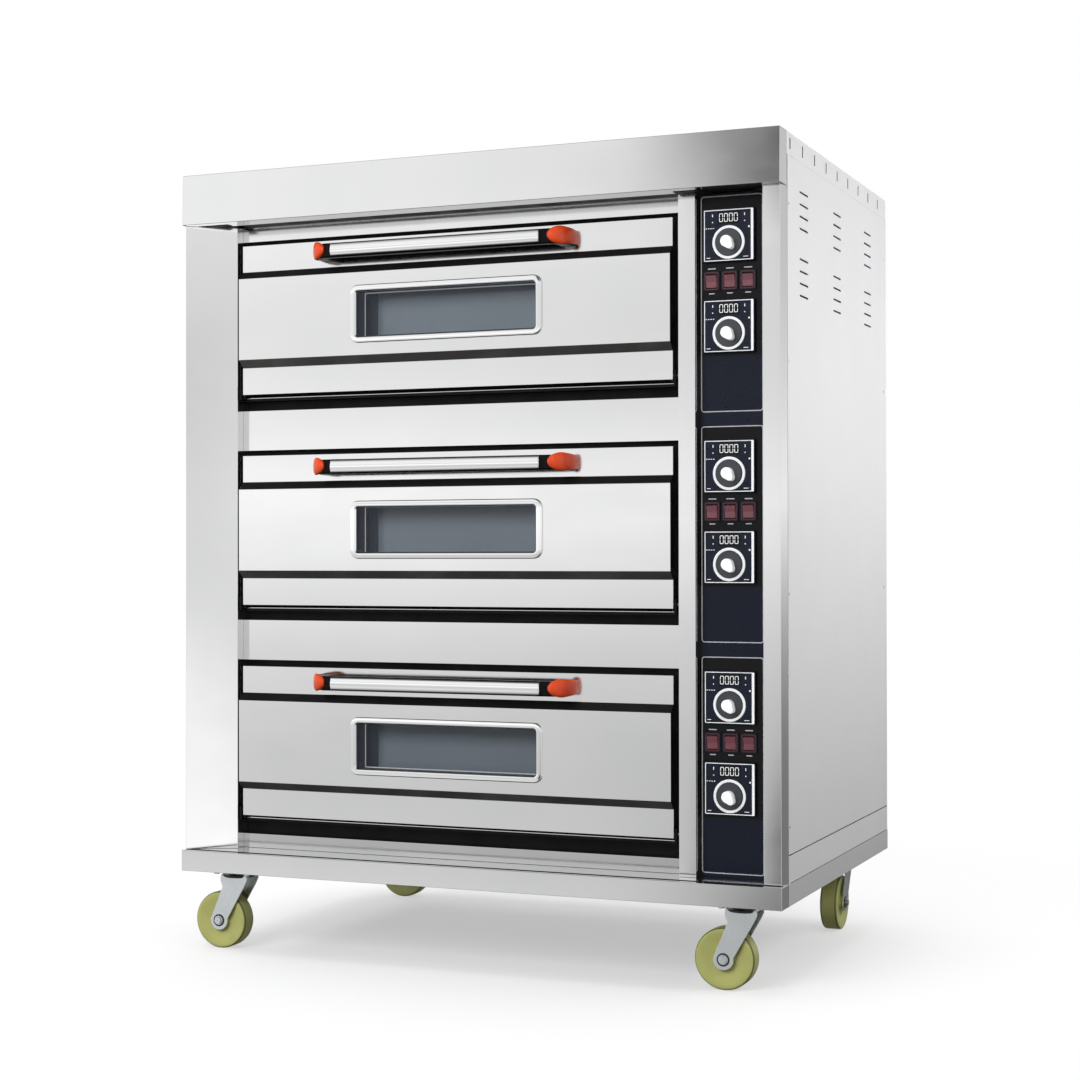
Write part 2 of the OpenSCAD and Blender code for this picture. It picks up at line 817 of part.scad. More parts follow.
// Fork: top plate with the kingpin hole, two ears, and the axle bolt with its nut
module caster_fork() {
    top_z = caster_h - plate_t - race_h - fork_gap;
    top_half = 28;
    ear_bottom_r = 20;
    ear_y = ear_gap / 2;
    nut_r = 8.5;
    nut_h = 6;
    color(zinc) {
        difference() {
            union() {
                translate([-top_half, -ear_y - fork_t, top_z - fork_t])
                    cube([2 * top_half, ear_gap + 2 * fork_t, fork_t]);
                for (side = [-1, 1])
                    translate([0, side > 0 ? ear_y + fork_t : -ear_y, 0])
                        rotate([90, 0, 0])
                            linear_extrude(fork_t)
                                polygon([
                                    [-top_half, top_z], [top_half, top_z], [top_half - 4, top_z - 14],
                                    [-caster_trail + ear_bottom_r, axle_z - 4],
                                    [-caster_trail - ear_bottom_r, axle_z - 4]
                                ]);
                for (side = [-1, 1])
                    translate([-caster_trail, side > 0 ? ear_y + fork_t : -ear_y, axle_z])
                        rotate([90, 0, 0]) cylinder(r = ear_bottom_r, h = fork_t);
            }
            translate([0, 0, top_z - 2 * fork_t]) cylinder(r = kingpin_r + running, h = 4 * fork_t);
            translate([-caster_trail, ear_y + 2 * fork_t, axle_z])
                rotate([90, 0, 0]) cylinder(r = axle_r + running, h = ear_gap + 4 * fork_t);
        }
        translate([-caster_trail, ear_y + fork_t + nut_h, axle_z])
            rotate([90, 0, 0]) cylinder(r = axle_r, h = ear_gap + 2 * (fork_t + nut_h));
        for (y = [ear_y + fork_t + nut_h, -ear_y - fork_t])
            translate([-caster_trail, y, axle_z])
                rotate([90, 0, 0]) cylinder(r = nut_r, h = nut_h, $fn = 6);
    }
}

// Nylon wheel with a crowned tread, dished sides and a plain bore
module caster_wheel() {
    r = wheel_d / 2;
    w = wheel_w / 2;
    bore = axle_r + running;
    half = [
        [bore, w + 1], [14, w + 1], [16, w - 5], [r - 18, w - 6], [r - 13, w - 1],
        [r - 8, w], [r - 3, w - 3], [r - 0.6, w - 9], [r, w - 15]
    ];
    color([0.80, 0.82, 0.50])
        translate([-caster_trail, 0, axle_z])
            rotate([90, 0, 0])
                rotate_extrude()
                    polygon(concat(half, [for (p = reversed(half)) [p[0], -p[1]]]));
}

base_frame();
caster_plates();
top_hood();
roof_cover();
left_column();
mullion();
right_column();
side_panels();
rear_panel();
deck_fascias();
oven_chambers();
insulation();
hearth_plates();
heating_elements();
control_panel();
thermostats();

door_skin(1);  // upper_door_skin
door_liner(1);  // upper_door_liner
window_frame(1);  // upper_window_frame
door_glass(1);  // upper_door_glass
handle_body(1);  // upper_handle_body
handle_tube(1);  // upper_handle_tube
handle_caps(1);  // upper_handle_caps
door_skin(2);  // middle_door_skin
door_liner(2);  // middle_door_liner
window_frame(2);  // middle_window_frame
door_glass(2);  // middle_door_glass
handle_body(2);  // middle_handle_body
handle_tube(2);  // middle_handle_tube
handle_caps(2);  // middle_handle_caps
door_skin(3);  // lower_door_skin
door_liner(3);  // lower_door_liner
window_frame(3);  // lower_window_frame
door_glass(3);  // lower_door_glass
handle_body(3);  // lower_handle_body
handle_tube(3);  // lower_handle_tube
handle_caps(3);  // lower_handle_caps

heat_knob(1, upper_controller_h);  // upper_top_heat_knob
heat_knob(1, lower_controller_h);  // upper_bottom_heat_knob
heat_knob(2, upper_controller_h);  // middle_top_heat_knob
heat_knob(2, lower_controller_h);  // middle_bottom_heat_knob
heat_knob(3, upper_controller_h);  // lower_top_heat_knob
heat_knob(3, lower_controller_h);  // lower_bottom_heat_knob

rocker(1, -1);  // upper_left_rocker
rocker(1, 0);  // upper_centre_rocker
rocker(1, 1);  // upper_right_rocker
rocker(2, -1);  // middle_left_rocker
rocker(2, 0);  // middle_centre_rocker
rocker(2, 1);  // middle_right_rocker
rocker(3, -1);  // lower_left_rocker
rocker(3, 0);  // lower_centre_rocker
rocker(3, 1);  // lower_right_rocker

front_left_corner() caster_fork();  // front_left_fork
front_left_corner() caster_wheel();  // front_left_wheel
front_right_corner() caster_fork();  // front_right_fork
front_right_corner() caster_wheel();  // front_right_wheel
rear_left_corner() caster_fork();  // rear_left_fork
rear_left_corner() caster_wheel();  // rear_left_wheel
rear_right_corner() caster_fork();  // rear_right_fork
rear_right_corner() caster_wheel();  // rear_right_wheel
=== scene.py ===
"""Looks of a three-deck bakery oven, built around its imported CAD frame."""

import json
import math

import bmesh
import bpy
from mathutils import Matrix, Vector

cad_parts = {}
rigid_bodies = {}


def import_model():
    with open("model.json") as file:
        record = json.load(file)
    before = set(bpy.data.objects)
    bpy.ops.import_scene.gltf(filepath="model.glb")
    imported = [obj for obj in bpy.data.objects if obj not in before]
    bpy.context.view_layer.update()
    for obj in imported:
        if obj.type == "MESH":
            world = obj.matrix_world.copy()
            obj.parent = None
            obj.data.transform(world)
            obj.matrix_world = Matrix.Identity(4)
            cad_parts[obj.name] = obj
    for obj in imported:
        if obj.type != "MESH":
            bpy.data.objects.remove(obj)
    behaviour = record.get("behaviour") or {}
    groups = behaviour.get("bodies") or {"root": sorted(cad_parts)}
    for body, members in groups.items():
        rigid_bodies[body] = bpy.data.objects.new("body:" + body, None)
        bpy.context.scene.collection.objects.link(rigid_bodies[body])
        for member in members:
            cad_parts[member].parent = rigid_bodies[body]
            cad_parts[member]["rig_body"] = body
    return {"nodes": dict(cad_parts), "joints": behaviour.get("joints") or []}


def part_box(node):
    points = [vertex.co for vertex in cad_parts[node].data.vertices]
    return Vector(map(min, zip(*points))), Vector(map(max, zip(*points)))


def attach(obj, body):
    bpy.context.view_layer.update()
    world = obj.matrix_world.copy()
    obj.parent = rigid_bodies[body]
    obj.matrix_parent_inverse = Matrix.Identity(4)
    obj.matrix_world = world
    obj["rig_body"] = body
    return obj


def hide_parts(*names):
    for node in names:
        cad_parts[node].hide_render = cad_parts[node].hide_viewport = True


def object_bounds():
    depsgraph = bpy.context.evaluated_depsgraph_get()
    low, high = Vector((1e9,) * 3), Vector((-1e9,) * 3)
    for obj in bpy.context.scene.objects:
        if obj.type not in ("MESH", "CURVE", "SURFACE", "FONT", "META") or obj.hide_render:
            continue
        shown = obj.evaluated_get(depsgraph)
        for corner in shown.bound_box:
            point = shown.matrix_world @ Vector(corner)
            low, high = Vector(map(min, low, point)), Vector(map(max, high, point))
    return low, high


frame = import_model()
cad_low, cad_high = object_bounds()

MM = 0.001
DECKS = ("upper", "middle", "lower")
CORNERS = ("front_left", "front_right", "rear_left", "rear_right")
CABINET = "cabinet"
PLACES = ("left", "centre", "right")
# Every depth below is measured in millimetres back from the front of the hood
FRONT_Y = cad_low.y
# Face of the control panel
BOARD_Y = FRONT_Y + 75 * MM


def y_at(depth):
    """Y position, in metres, of a depth in millimetres behind the hood's front."""
    return FRONT_Y + depth * MM


def mm(*pairs):
    """Pairs of millimetres in metres."""
    return [(a * MM, b * MM) for a, b in pairs]


def joint_at(name):
    """Point on the axis of one of the record's joints."""
    return Vector(next(j["pos_m"] for j in frame["joints"] if j["name"] == name))


# ---------- outlines


def rounded(points, radius, steps=4):
    """Closed outline of 2-D points whose sharp corners become arcs of the given radius."""
    points = [Vector(p) for p in points]
    result = []
    count = len(points)
    for i, corner in enumerate(points):
        back = points[i - 1] - corner
        ahead = points[(i + 1) % count] - corner
        half = back.angle(ahead) / 2
        if half > math.radians(89):
            result.append(corner)
            continue
        reach = min(radius / math.tan(half), 0.45 * min(back.length, ahead.length))
        bend = reach * math.tan(half)
        centre = corner + (back.normalized() + ahead.normalized()).normalized() * bend / math.sin(half)
        start = corner + back.normalized() * reach - centre
        end = corner + ahead.normalized() * reach - centre
        turn = math.atan2(start.x * end.y - start.y * end.x, start.dot(end))
        for step in range(steps + 1):
            angle = turn * step / steps
            c, s = math.cos(angle), math.sin(angle)
            result.append(centre + Vector((start.x * c - start.y * s, start.x * s + start.y * c)))
    return result


def outward(points):
    """Unit normals of a closed outline, pointing out of it."""
    count = len(points)
    area = sum(points[i - 1].x * p.y - points[i - 1].y * p.x for i, p in enumerate(points))
    side = 1 if area > 0 else -1
    normals = []
    for i in range(count):
        along = (points[(i + 1) % count] - points[i - 1]).normalized()
        normals.append(Vector((along.y, -along.x)) * side)
    return normals


def rectangle(x1, z1, x2, z2, radius, steps=6):
    """Rectangle with round corners, as a closed outline."""
    return rounded([(x1, z1), (x2, z1), (x2, z2), (x1, z2)], radius, steps)


def centred(x, z, width, height, radius, steps=2):
    """Rectangle with round corners about its centre."""
    return rectangle(x - width / 2, z - height / 2, x + width / 2, z + height / 2, radius, steps)


def circle(x, z, radius, steps=48):
    """Circle as a closed outline."""
    turns = [2 * math.pi * i / steps for i in range(steps)]
    return [Vector((x + radius * math.cos(t), z + radius * math.sin(t))) for t in turns]


def placed(axis, point, along):
    """3-D point from a 2-D outline point and a distance along the outline's axis."""
    if axis == "x":
        return Vector((along, point.x, point.y))
    if axis == "y":
        return Vector((point.x, along, point.y))
    return Vector((point.x, point.y, along))


# ---------- shapes


class Shape:
    """Vertices and faces of one piece, gathered part by part."""

    def __init__(self):
        self.verts = []
        self.faces = []

    def loft(self, rings, caps=True):
        """Skin through closed rings of equal length, with its two ends filled if caps is true."""
        base = len(self.verts)
        count = len(rings[0])
        for ring in rings:
            self.verts.extend(ring)
        for r in range(len(rings) - 1):
            for i in range(count):
                a = base + r * count + i
                b = base + r * count + (i + 1) % count
                self.faces.append((a, b, b + count, a + count))
        if caps:
            last = base + (len(rings) - 1) * count
            self.faces.append(tuple(base + i for i in reversed(range(count))))
            self.faces.append(tuple(last + i for i in range(count)))

    def slab(self, axis, outline, low, high, edge=0.1 * MM):
        """Pulls an outline along an axis from low to high, with a small round on both rims."""
        normals = outward(outline)
        stations = [(low, 1.0), (low + 0.3 * edge, 0.3), (low + edge, 0.0),
                    (high - edge, 0.0), (high - 0.3 * edge, 0.3), (high, 1.0)]
        rings = []
        for along, inset in stations:
            ring = [p - n * edge * inset for p, n in zip(outline, normals)]
            rings.append([placed(axis, p, along) for p in ring])
        self.loft(rings)
        return self

    def lathe(self, profile, origin, axis, steps=64, caps=True):
        """Profile of (radius, distance) pairs turned about an axis through origin."""
        rings = []
        for radius, along in profile:
            ring = circle(0, 0, radius, steps)
            rings.append([origin + placed(axis, p, along) for p in ring])
        self.loft(rings, caps)

    def line(self, outline, width, back, front):
        """Flat printed line that follows an outline in the XZ plane."""
        self.frame_band(outline, [(0, back), (0, front), (width, front), (width, back)])
        return self

    def frame_band(self, outline, sections):
        """Closed band that follows an outline in the XZ plane; sections are (outward, y) pairs."""
        normals = outward(outline)
        rings = []
        for out, y in sections + sections[:1]:
            rings.append([Vector((p.x + n.x * out, y, p.y + n.y * out)) for p, n in zip(outline, normals)])
        self.loft(rings, caps=False)

    def move(self, matrix):
        """Turns or moves everything gathered so far."""
        self.verts = [matrix @ v for v in self.verts]


def added(name, data):
    """Adds an object to the scene."""
    obj = bpy.data.objects.new(name, data)
    bpy.context.scene.collection.objects.link(obj)
    return obj


def piece(name, mesh, material, body, stands_for=(), smooth=35):
    """Makes a visible piece from a mesh, with smooth shading kept off its sharp edges."""
    bm = bmesh.new()
    bm.from_mesh(mesh)
    bmesh.ops.remove_doubles(bm, verts=bm.verts, dist=1e-6)
    bmesh.ops.dissolve_degenerate(bm, edges=bm.edges, dist=1e-6)
    bmesh.ops.recalc_face_normals(bm, faces=bm.faces)
    bm.to_mesh(mesh)
    bm.free()
    mesh.shade_smooth()
    mesh.set_sharp_from_angle(angle=math.radians(smooth))
    mesh.materials.append(material)
    obj = added(name, mesh)
    obj.modifiers.new("even_normals", "WEIGHTED_NORMAL").keep_sharp = True
    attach(obj, body)
    if stands_for:
        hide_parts(*stands_for)
    return obj


def shaped(name, shape, material, body, stands_for=(), smooth=35):
    """Makes a visible piece from a Shape."""
    mesh = bpy.data.meshes.new(name)
    mesh.from_pydata(shape.verts, [], shape.faces)
    return piece(name, mesh, material, body, stands_for, smooth)


def softened(node, material, radius, suffix="sheet"):
    """Stands a copy of a CAD node with rounded edges in for it."""
    source = frame["nodes"][node]
    bm = bmesh.new()
    bm.from_mesh(source.data)
    bmesh.ops.remove_doubles(bm, verts=bm.verts, dist=1e-5)
    bmesh.ops.dissolve_limit(bm, angle_limit=math.radians(1), verts=bm.verts, edges=bm.edges)
    sharp = [e for e in bm.edges if len(e.link_faces) == 2 and e.calc_face_angle() > math.radians(12)]
    bmesh.ops.bevel(bm, geom=sharp, offset=radius, offset_type="OFFSET", segments=2, profile=0.5,
                    affect="EDGES", clamp_overlap=False)
    mesh = bpy.data.meshes.new(f"{node}_{suffix}")
    bm.to_mesh(mesh)
    bm.free()
    return piece(f"{node}_{suffix}", mesh, material, source["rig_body"], (node,))


# ---------- materials


class Nodes:
    """A node tree and the ways to add to it."""

    def __init__(self, tree):
        self.tree = tree

    def node(self, kind, values=(), **settings):
        """Adds a node of one kind, with its settings and the values of its inputs."""
        made = self.tree.nodes.new(kind)
        for key, value in settings.items():
            setattr(made, key, value)
        for key, value in dict(values).items():
            made.inputs[key].default_value = value
        return made

    def link(self, source, target):
        """Joins an output to an input."""
        self.tree.links.new(source, target)

    def map(self, source, low, high, to_low, to_high, smooth=False):
        """Maps low..high of a value onto to_low..to_high and holds it beyond."""
        limits = {"From Min": low, "From Max": high, "To Min": to_low, "To Max": to_high}
        shape = "SMOOTHSTEP" if smooth else "LINEAR"
        made = self.node("ShaderNodeMapRange", limits, interpolation_type=shape)
        self.link(source, made.inputs["Value"])
        return made.outputs["Result"]

    def blend(self, factor, first, second):
        """Mixes two shaders by a factor."""
        mix = self.node("ShaderNodeMixShader")
        self.link(factor, mix.inputs["Fac"])
        self.link(first, mix.inputs[1])
        self.link(second, mix.inputs[2])
        return mix.outputs["Shader"]


class Shader(Nodes):
    """A Principled material whose inputs are driven by noise in the piece's own frame."""

    def __init__(self, name, colour, metallic=0.0, roughness=0.5, **inputs):
        self.material = bpy.data.materials.new(name)
        self.material.use_nodes = True
        super().__init__(self.material.node_tree)
        self.principled = self.tree.nodes["Principled BSDF"]
        self.coordinates = self.node("ShaderNodeTexCoord").outputs["Object"]
        self.colour = colour
        self.roughness = roughness
        values = {"Base_Color": (*colour, 1), "Metallic": metallic, "Roughness": roughness, **inputs}
        for key, value in values.items():
            self.principled.inputs[key.replace("_", " ")].default_value = value
        self.normal = None

    def show(self, shader):
        """Sends a shader to the surface in place of the Principled one."""
        output = next(n for n in self.tree.nodes if n.type == "OUTPUT_MATERIAL")
        self.link(shader, output.inputs["Surface"])

    def noise(self, scale, stretch=(1, 1, 1), detail=3.0):
        """Noise at so many cells a metre, squeezed along the axes where stretch is over 1."""
        mapping = self.node("ShaderNodeMapping", {"Scale": stretch})
        self.link(self.coordinates, mapping.inputs["Vector"])
        texture = self.node("ShaderNodeTexNoise", {"Scale": scale, "Detail": detail, "Roughness": 0.55})
        self.link(mapping.outputs["Vector"], texture.inputs["Vector"])
        return texture.outputs["Fac"]

    def spread(self, source, low, high, centre=0.5, width=0.25):
        """Maps a noise output round its middle onto low..high."""
        return self.map(source, centre - width, centre + width, low, high)

    def tint(self, source, other, centre=0.5, width=0.25):
        """Blends the base colour towards another where the source is high."""
        # Inputs 6 and 7 and output 2 are the Mix node's colours
        mix = self.node("ShaderNodeMix", {6: (*self.colour, 1), 7: (*other, 1)}, data_type="RGBA")
        self.link(self.spread(source, 0, 1, centre, width), mix.inputs[0])
        current = self.principled.inputs["Base Color"]
        if current.is_linked:
            self.link(current.links[0].from_socket, mix.inputs[6])
        self.link(mix.outputs[2], current)

    def vary_roughness(self, source, amount):
        """Makes the roughness wander either side of its value."""
        low, high = self.roughness - amount, self.roughness + amount
        self.link(self.spread(source, low, high), self.principled.inputs["Roughness"])

    def bump(self, source, height):
        """Adds relief of so many metres, on top of any relief already there."""
        made = self.node("ShaderNodeBump", {"Strength": 1, "Distance": height})
        self.link(source, made.inputs["Height"])
        if self.normal is not None:
            self.link(self.normal, made.inputs["Normal"])
        self.normal = made.outputs["Normal"]
        self.link(self.normal, self.principled.inputs["Normal"])

    def worn_edges(self, colour, radius):
        """Shows a lighter colour where the surface turns a corner."""
        bevel = self.node("ShaderNodeBevel", {"Radius": radius}, samples=4)
        geometry = self.node("ShaderNodeNewGeometry")
        dot = self.node("ShaderNodeVectorMath", operation="DOT_PRODUCT")
        self.link(bevel.outputs["Normal"], dot.inputs[0])
        self.link(geometry.outputs["Normal"], dot.inputs[1])
        edge = self.spread(dot.outputs["Value"], 1, 0, centre=0.95, width=0.04)
        broken = self.node("ShaderNodeMath", operation="MULTIPLY")
        self.link(edge, broken.inputs[0])
        self.link(self.spread(self.noise(160), 0, 1), broken.inputs[1])
        self.tint(broken.outputs["Value"], colour, centre=0.5, width=0.5)


def stainless(name, stretch, roughness=0.13, wave=0.00035, shade=0.80):
    """Bright rolled stainless: a faint grain across stretch, and sheet that isn't quite flat."""
    made = Shader(name, (shade, shade, shade * 0.995), 1.0, roughness)
    grain = made.noise(900, stretch, detail=2)
    made.tint(made.noise(5, detail=2), (shade * 0.96, shade * 0.965, shade * 0.97))
    made.vary_roughness(made.noise(14, (0.3, 1, 1)), 0.025)
    made.bump(grain, 0.000002)
    made.bump(made.noise(3.2, detail=1.5), wave)
    return made.material


def painted(name, colour, roughness=0.42):
    """Powder coat with orange peel, faint mottling and rubbed edges."""
    made = Shader(name, colour, 0.0, roughness, Specular_IOR_Level=0.4)
    made.tint(made.noise(7, detail=3), tuple(c * 0.97 for c in colour))
    made.vary_roughness(made.noise(30), 0.05)
    made.worn_edges(tuple(min(1, c * 1.05) for c in colour), 0.0012)
    made.bump(made.noise(900, detail=1), 0.00003)
    return made.material


def moulded(name, colour, roughness=0.3, coat=0.0, texture=0.00001, **inputs):
    """Moulded plastic with a fine surface texture and slight flow marks."""
    made = Shader(name, colour, 0.0, roughness, Coat_Weight=coat, Coat_Roughness=0.08, **inputs)
    made.tint(made.noise(40, detail=3), tuple(c * 0.88 for c in colour))
    made.vary_roughness(made.noise(120), 0.05)
    if texture:
        made.bump(made.noise(2500, detail=1), texture)
    return made.material


def plated(name, colour, roughness=0.3, spangle=60):
    """Zinc plate: cloudy patches and small scratches."""
    made = Shader(name, colour, 1.0, roughness)
    made.tint(made.noise(spangle, detail=2), tuple(c * 0.90 for c in colour))
    made.vary_roughness(made.noise(spangle * 2, detail=2), 0.04)
    made.bump(made.noise(500, (1, 1, 0.2), detail=1), 0.000002)
    return made.material


def dark_enamel(name, colour, roughness=0.4):
    """Heat-resistant black sheet with soot and rubbed spots; also used as painted shade, as on the door
    folds.
    """
    made = Shader(name, colour, 0.0, roughness, Specular_IOR_Level=0.15)
    made.tint(made.noise(9, detail=4), tuple(c * 1.7 for c in colour), centre=0.6, width=0.15)
    made.vary_roughness(made.noise(25), 0.1)
    made.bump(made.noise(600), 0.00002)
    return made.material


def mineral_wool(name):
    """Matt fibre slab."""
    made = Shader(name, (0.55, 0.47, 0.28), 0.0, 0.95)
    made.tint(made.noise(35, (1, 1, 4), detail=5), (0.36, 0.30, 0.16))
    made.bump(made.noise(220, (1, 1, 3), detail=5), 0.0015)
    return made.material


def pane(name, colour, opacity, roughness=0.04):
    """Window glass: part of the light passes straight through, the rest shows its tint."""
    made = Shader(name, colour, 0.0, roughness, IOR=1.5)
    made.tint(made.noise(6, detail=2), tuple(c * 0.93 for c in colour))
    made.vary_roughness(made.noise(20), roughness * 0.4)
    made.bump(made.noise(2.5, detail=1), 0.0001)
    clear = made.node("ShaderNodeBsdfTransparent")
    fresnel = made.node("ShaderNodeFresnel")
    amount = made.map(fresnel.outputs["Fac"], 0, 1, opacity, 1)
    made.show(made.blend(amount, clear.outputs["BSDF"], made.principled.outputs["BSDF"]))
    return made.material


STEEL_LEVEL = stainless("stainless_level_grain", (0.02, 1, 1))
STEEL_UPRIGHT = stainless("stainless_upright_grain", (1, 1, 0.02))
# Painted shade: the fascia steel made darker for the sill under the lowest door
SHADED_SILL_STEEL = stainless("sill_steel_painted_shade", (0.02, 1, 1), shade=0.58)
CHROME = stainless("chrome_plate", (1, 1, 1), roughness=0.05, wave=0.00001, shade=0.86)
PAINT = painted("pale_grey_paint", (0.80, 0.80, 0.81))
# Painted shade: the pale grey paint made darker for the base's sides and back
SHADED_RAIL_PAINT = painted("rail_paint_painted_shade", (0.60, 0.60, 0.61))
# Black sheet of the oven chambers, also put in as painted shade on the ledge upstands, in the louvre slots
# and in the hood's shadow strips
BLACK_SHEET = dark_enamel("black_sheet", (0.004, 0.004, 0.0045), 0.5)
# Painted shade on the door folds in place of polished steel: a darker copy for the folds that face up, a
# lighter one for those that face down
UPPER_FOLD_PAINTED_SHADE = dark_enamel("upper_fold_painted_shade", (0.010, 0.010, 0.011), 0.35)
LOWER_FOLD_PAINTED_SHADE = dark_enamel("lower_fold_painted_shade", (0.070, 0.068, 0.066), 0.35)
HEARTH = dark_enamel("hearth_steel", (0.09, 0.08, 0.075), 0.6)
HEATER = plated("heater_sheath", (0.20, 0.19, 0.18), 0.45)
GALVANISED = plated("galvanised_sheet", (0.55, 0.56, 0.58), 0.38, spangle=35)
ZINC = plated("zinc_plate", (0.70, 0.735, 0.75), 0.28, spangle=22)
# Painted shade: dark steel for the swivel race under the base and the washers round the axle bolts
RACE_PAINTED_SHADE = plated("dark_steel_painted_shade", (0.06, 0.06, 0.065), 0.40)
WOOL = mineral_wool("mineral_wool")
PANEL = moulded("panel_overlay", (0.007, 0.010, 0.022), 0.30, texture=0, Specular_IOR_Level=0.2)
BEZEL = moulded("bezel_black", (0.004, 0.004, 0.005), 0.35, Specular_IOR_Level=0.2)
CONTROLLER = moulded("controller_face", (0.006, 0.010, 0.024), 0.30, Specular_IOR_Level=0.25)
# White print with a painted glow: its emission makes the print, the display digits and the pane's highlight
# line brighter than the lamps make them
PRINT = moulded("white_print_painted_glow", (0.86, 0.86, 0.88), 0.40, Emission_Strength=0.28)
PRINT_DIM = moulded("grey_print", (0.62, 0.63, 0.66), 0.45)
DIAL = moulded("dial_grey", (0.045, 0.05, 0.06), 0.35)
# White knob grip with a painted glow that makes it brighter than its lighting
KNOB_PAINTED_GLOW = moulded("knob_white", (0.90, 0.90, 0.91), 0.25, coat=0.3, Emission_Strength=0.35)
ROCKER = moulded("rocker_red", (0.20, 0.052, 0.075), 0.25, coat=0.5)
ROCKER_RIM = moulded("rocker_rim_red", (0.060, 0.012, 0.018), 0.35)
ORANGE = moulded("orange_cap", (0.83, 0.075, 0.011), 0.24, coat=0.25, Specular_IOR_Level=0.3)
HANDLE_BLACK = moulded("handle_black", (0.003, 0.003, 0.003), 0.33, Specular_IOR_Level=0.12)
# Painted shade: a darker olive for the nylon where the tread's shoulders turn away
NYLON_EDGE_PAINTED_SHADE = moulded("nylon_edge_painted_shade", (0.17, 0.18, 0.05), 0.45)
NYLON = moulded("pale_nylon", (0.57, 0.58, 0.20), 0.42, Subsurface_Weight=0.15, Subsurface_Scale=0.01)
TUNNEL = painted("tunnel_grey", (0.10, 0.115, 0.14), 0.5)
OUTER_GLASS = pane("outer_pane", (0.10, 0.12, 0.15), 0.10)
INNER_GLASS = pane("inner_pane", (0.33, 0.39, 0.45), 0.92, roughness=0.12)
# Painted shade: dark strips on the inner pane along its left and right edges
PANE_SHADE_BORDER = moulded("pane_shade_border", (0.055, 0.066, 0.095), 0.4)


# ---------- cabinet

# Rounding of folded edges; under half the thickness of the sheet
SHEET_EDGE = 0.7 * MM
PANEL_EDGE = 0.5 * MM


def top_hood():
    """Hood whose front leans back a little towards its top, as its reflections show."""
    hood = softened("top_hood", STEEL_LEVEL, 0.9 * MM)
    lean = math.tan(math.radians(1.5))
    bottom = min(v.co.z for v in hood.data.vertices)
    for vertex in hood.data.vertices:
        if vertex.co.y < y_at(5):
            vertex.co.y += (vertex.co.z - bottom) * lean


def base_frame():
    """Base whose front is bright steel, with its sides and back behind a seam in a darker copy of the pale
    grey paint, the darker tone painted shade.
    """
    obj = softened("base_frame", STEEL_LEVEL, SHEET_EDGE)
    obj.data.materials.append(SHADED_RAIL_PAINT)
    seam = y_at(46)
    edge = max(v.co.x for v in obj.data.vertices) - 1 * MM
    rear = max(v.co.y for v in obj.data.vertices) - 1 * MM
    bm = bmesh.new()
    bm.from_mesh(obj.data)
    everything = bm.verts[:] + bm.edges[:] + bm.faces[:]
    bmesh.ops.bisect_plane(bm, geom=everything, plane_co=(0, seam, 0), plane_no=(0, 1, 0))
    # Sides and back behind the seam take the darker paint, as painted shade
    for face in bm.faces:
        centre = face.calc_center_median()
        if centre.y > rear or (abs(centre.x) > edge and centre.y > seam):
            face.material_index = 1
    bm.to_mesh(obj.data)
    bm.free()


def side_panels():
    """Side panels with their outer faces set back, so the screw heads on them stay in the CAD box."""
    obj = softened("side_panels", PAINT, PANEL_EDGE)
    limit = max(v.co.x for v in obj.data.vertices) - 0.55 * MM
    for vertex in obj.data.vertices:
        if abs(vertex.co.x) > limit:
            vertex.co.x = math.copysign(limit, vertex.co.x)


def deck_fascias():
    """Strips between the decks, and the sill under the lowest door in a darker copy of the same steel, its
    darker tone painted shade.
    """
    obj = softened("deck_fascias", STEEL_LEVEL, SHEET_EDGE)
    obj.data.materials.append(SHADED_SILL_STEEL)
    sill_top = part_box("lower_door_skin")[0].z + 5 * MM
    # Faces of the sill get the darker steel, as painted shade
    for face in obj.data.polygons:
        if face.center.z < sill_top:
            face.material_index = 1


def ledge_lips():
    """Bright rolled edge on the ledge under each door, standing on an upstand in black sheet that paints the
    shade under the edge.
    """
    lips = Shape()
    stands = Shape()
    y = y_at(77)
    drop = 6 * MM
    for deck in DECKS:
        low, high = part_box(f"{deck}_door_skin")
        wire = circle(y, low.z - drop, 1.5 * MM, 16)
        lips.loft([[placed("x", p, x) for p in wire] for x in (low.x, high.x)])
        # The black upstand is painted shade under the rolled edge
        web = rectangle(y - 0.5 * MM, low.z - 2 * drop, y + 0.5 * MM, low.z - drop, 0.2 * MM, 2)
        stands.slab("x", web, low.x, high.x)
    shaped("door_ledge_lips", lips, CHROME, CABINET)
    shaped("door_ledge_upstands_painted_shade", stands, BLACK_SHEET, CABINET)


def hood_shadow_strips():
    """Black strips under the hood: over the doors below its soffit, and over the columns."""
    low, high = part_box("top_hood")
    bay_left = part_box("left_column")[1].x
    bay_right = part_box("mullion")[0].x
    margin = 5 * MM
    radius, edge = 0.3 * MM, 0.2 * MM
    strips = Shape()
    over_doors = rectangle(y_at(66), low.z + 3.9 * MM, y_at(84.5), low.z + 4.9 * MM, radius, 2)
    over_columns = rectangle(y_at(26), low.z - 0.9 * MM, y_at(43), low.z + 0.1 * MM, radius, 2)
    strips.slab("x", over_doors, bay_left, bay_right, edge)
    strips.slab("x", over_columns, low.x + margin, bay_left, edge)
    strips.slab("x", over_columns, bay_right, high.x - margin, edge)
    shaped("hood_shadow_strips", strips, BLACK_SHEET, CABINET)


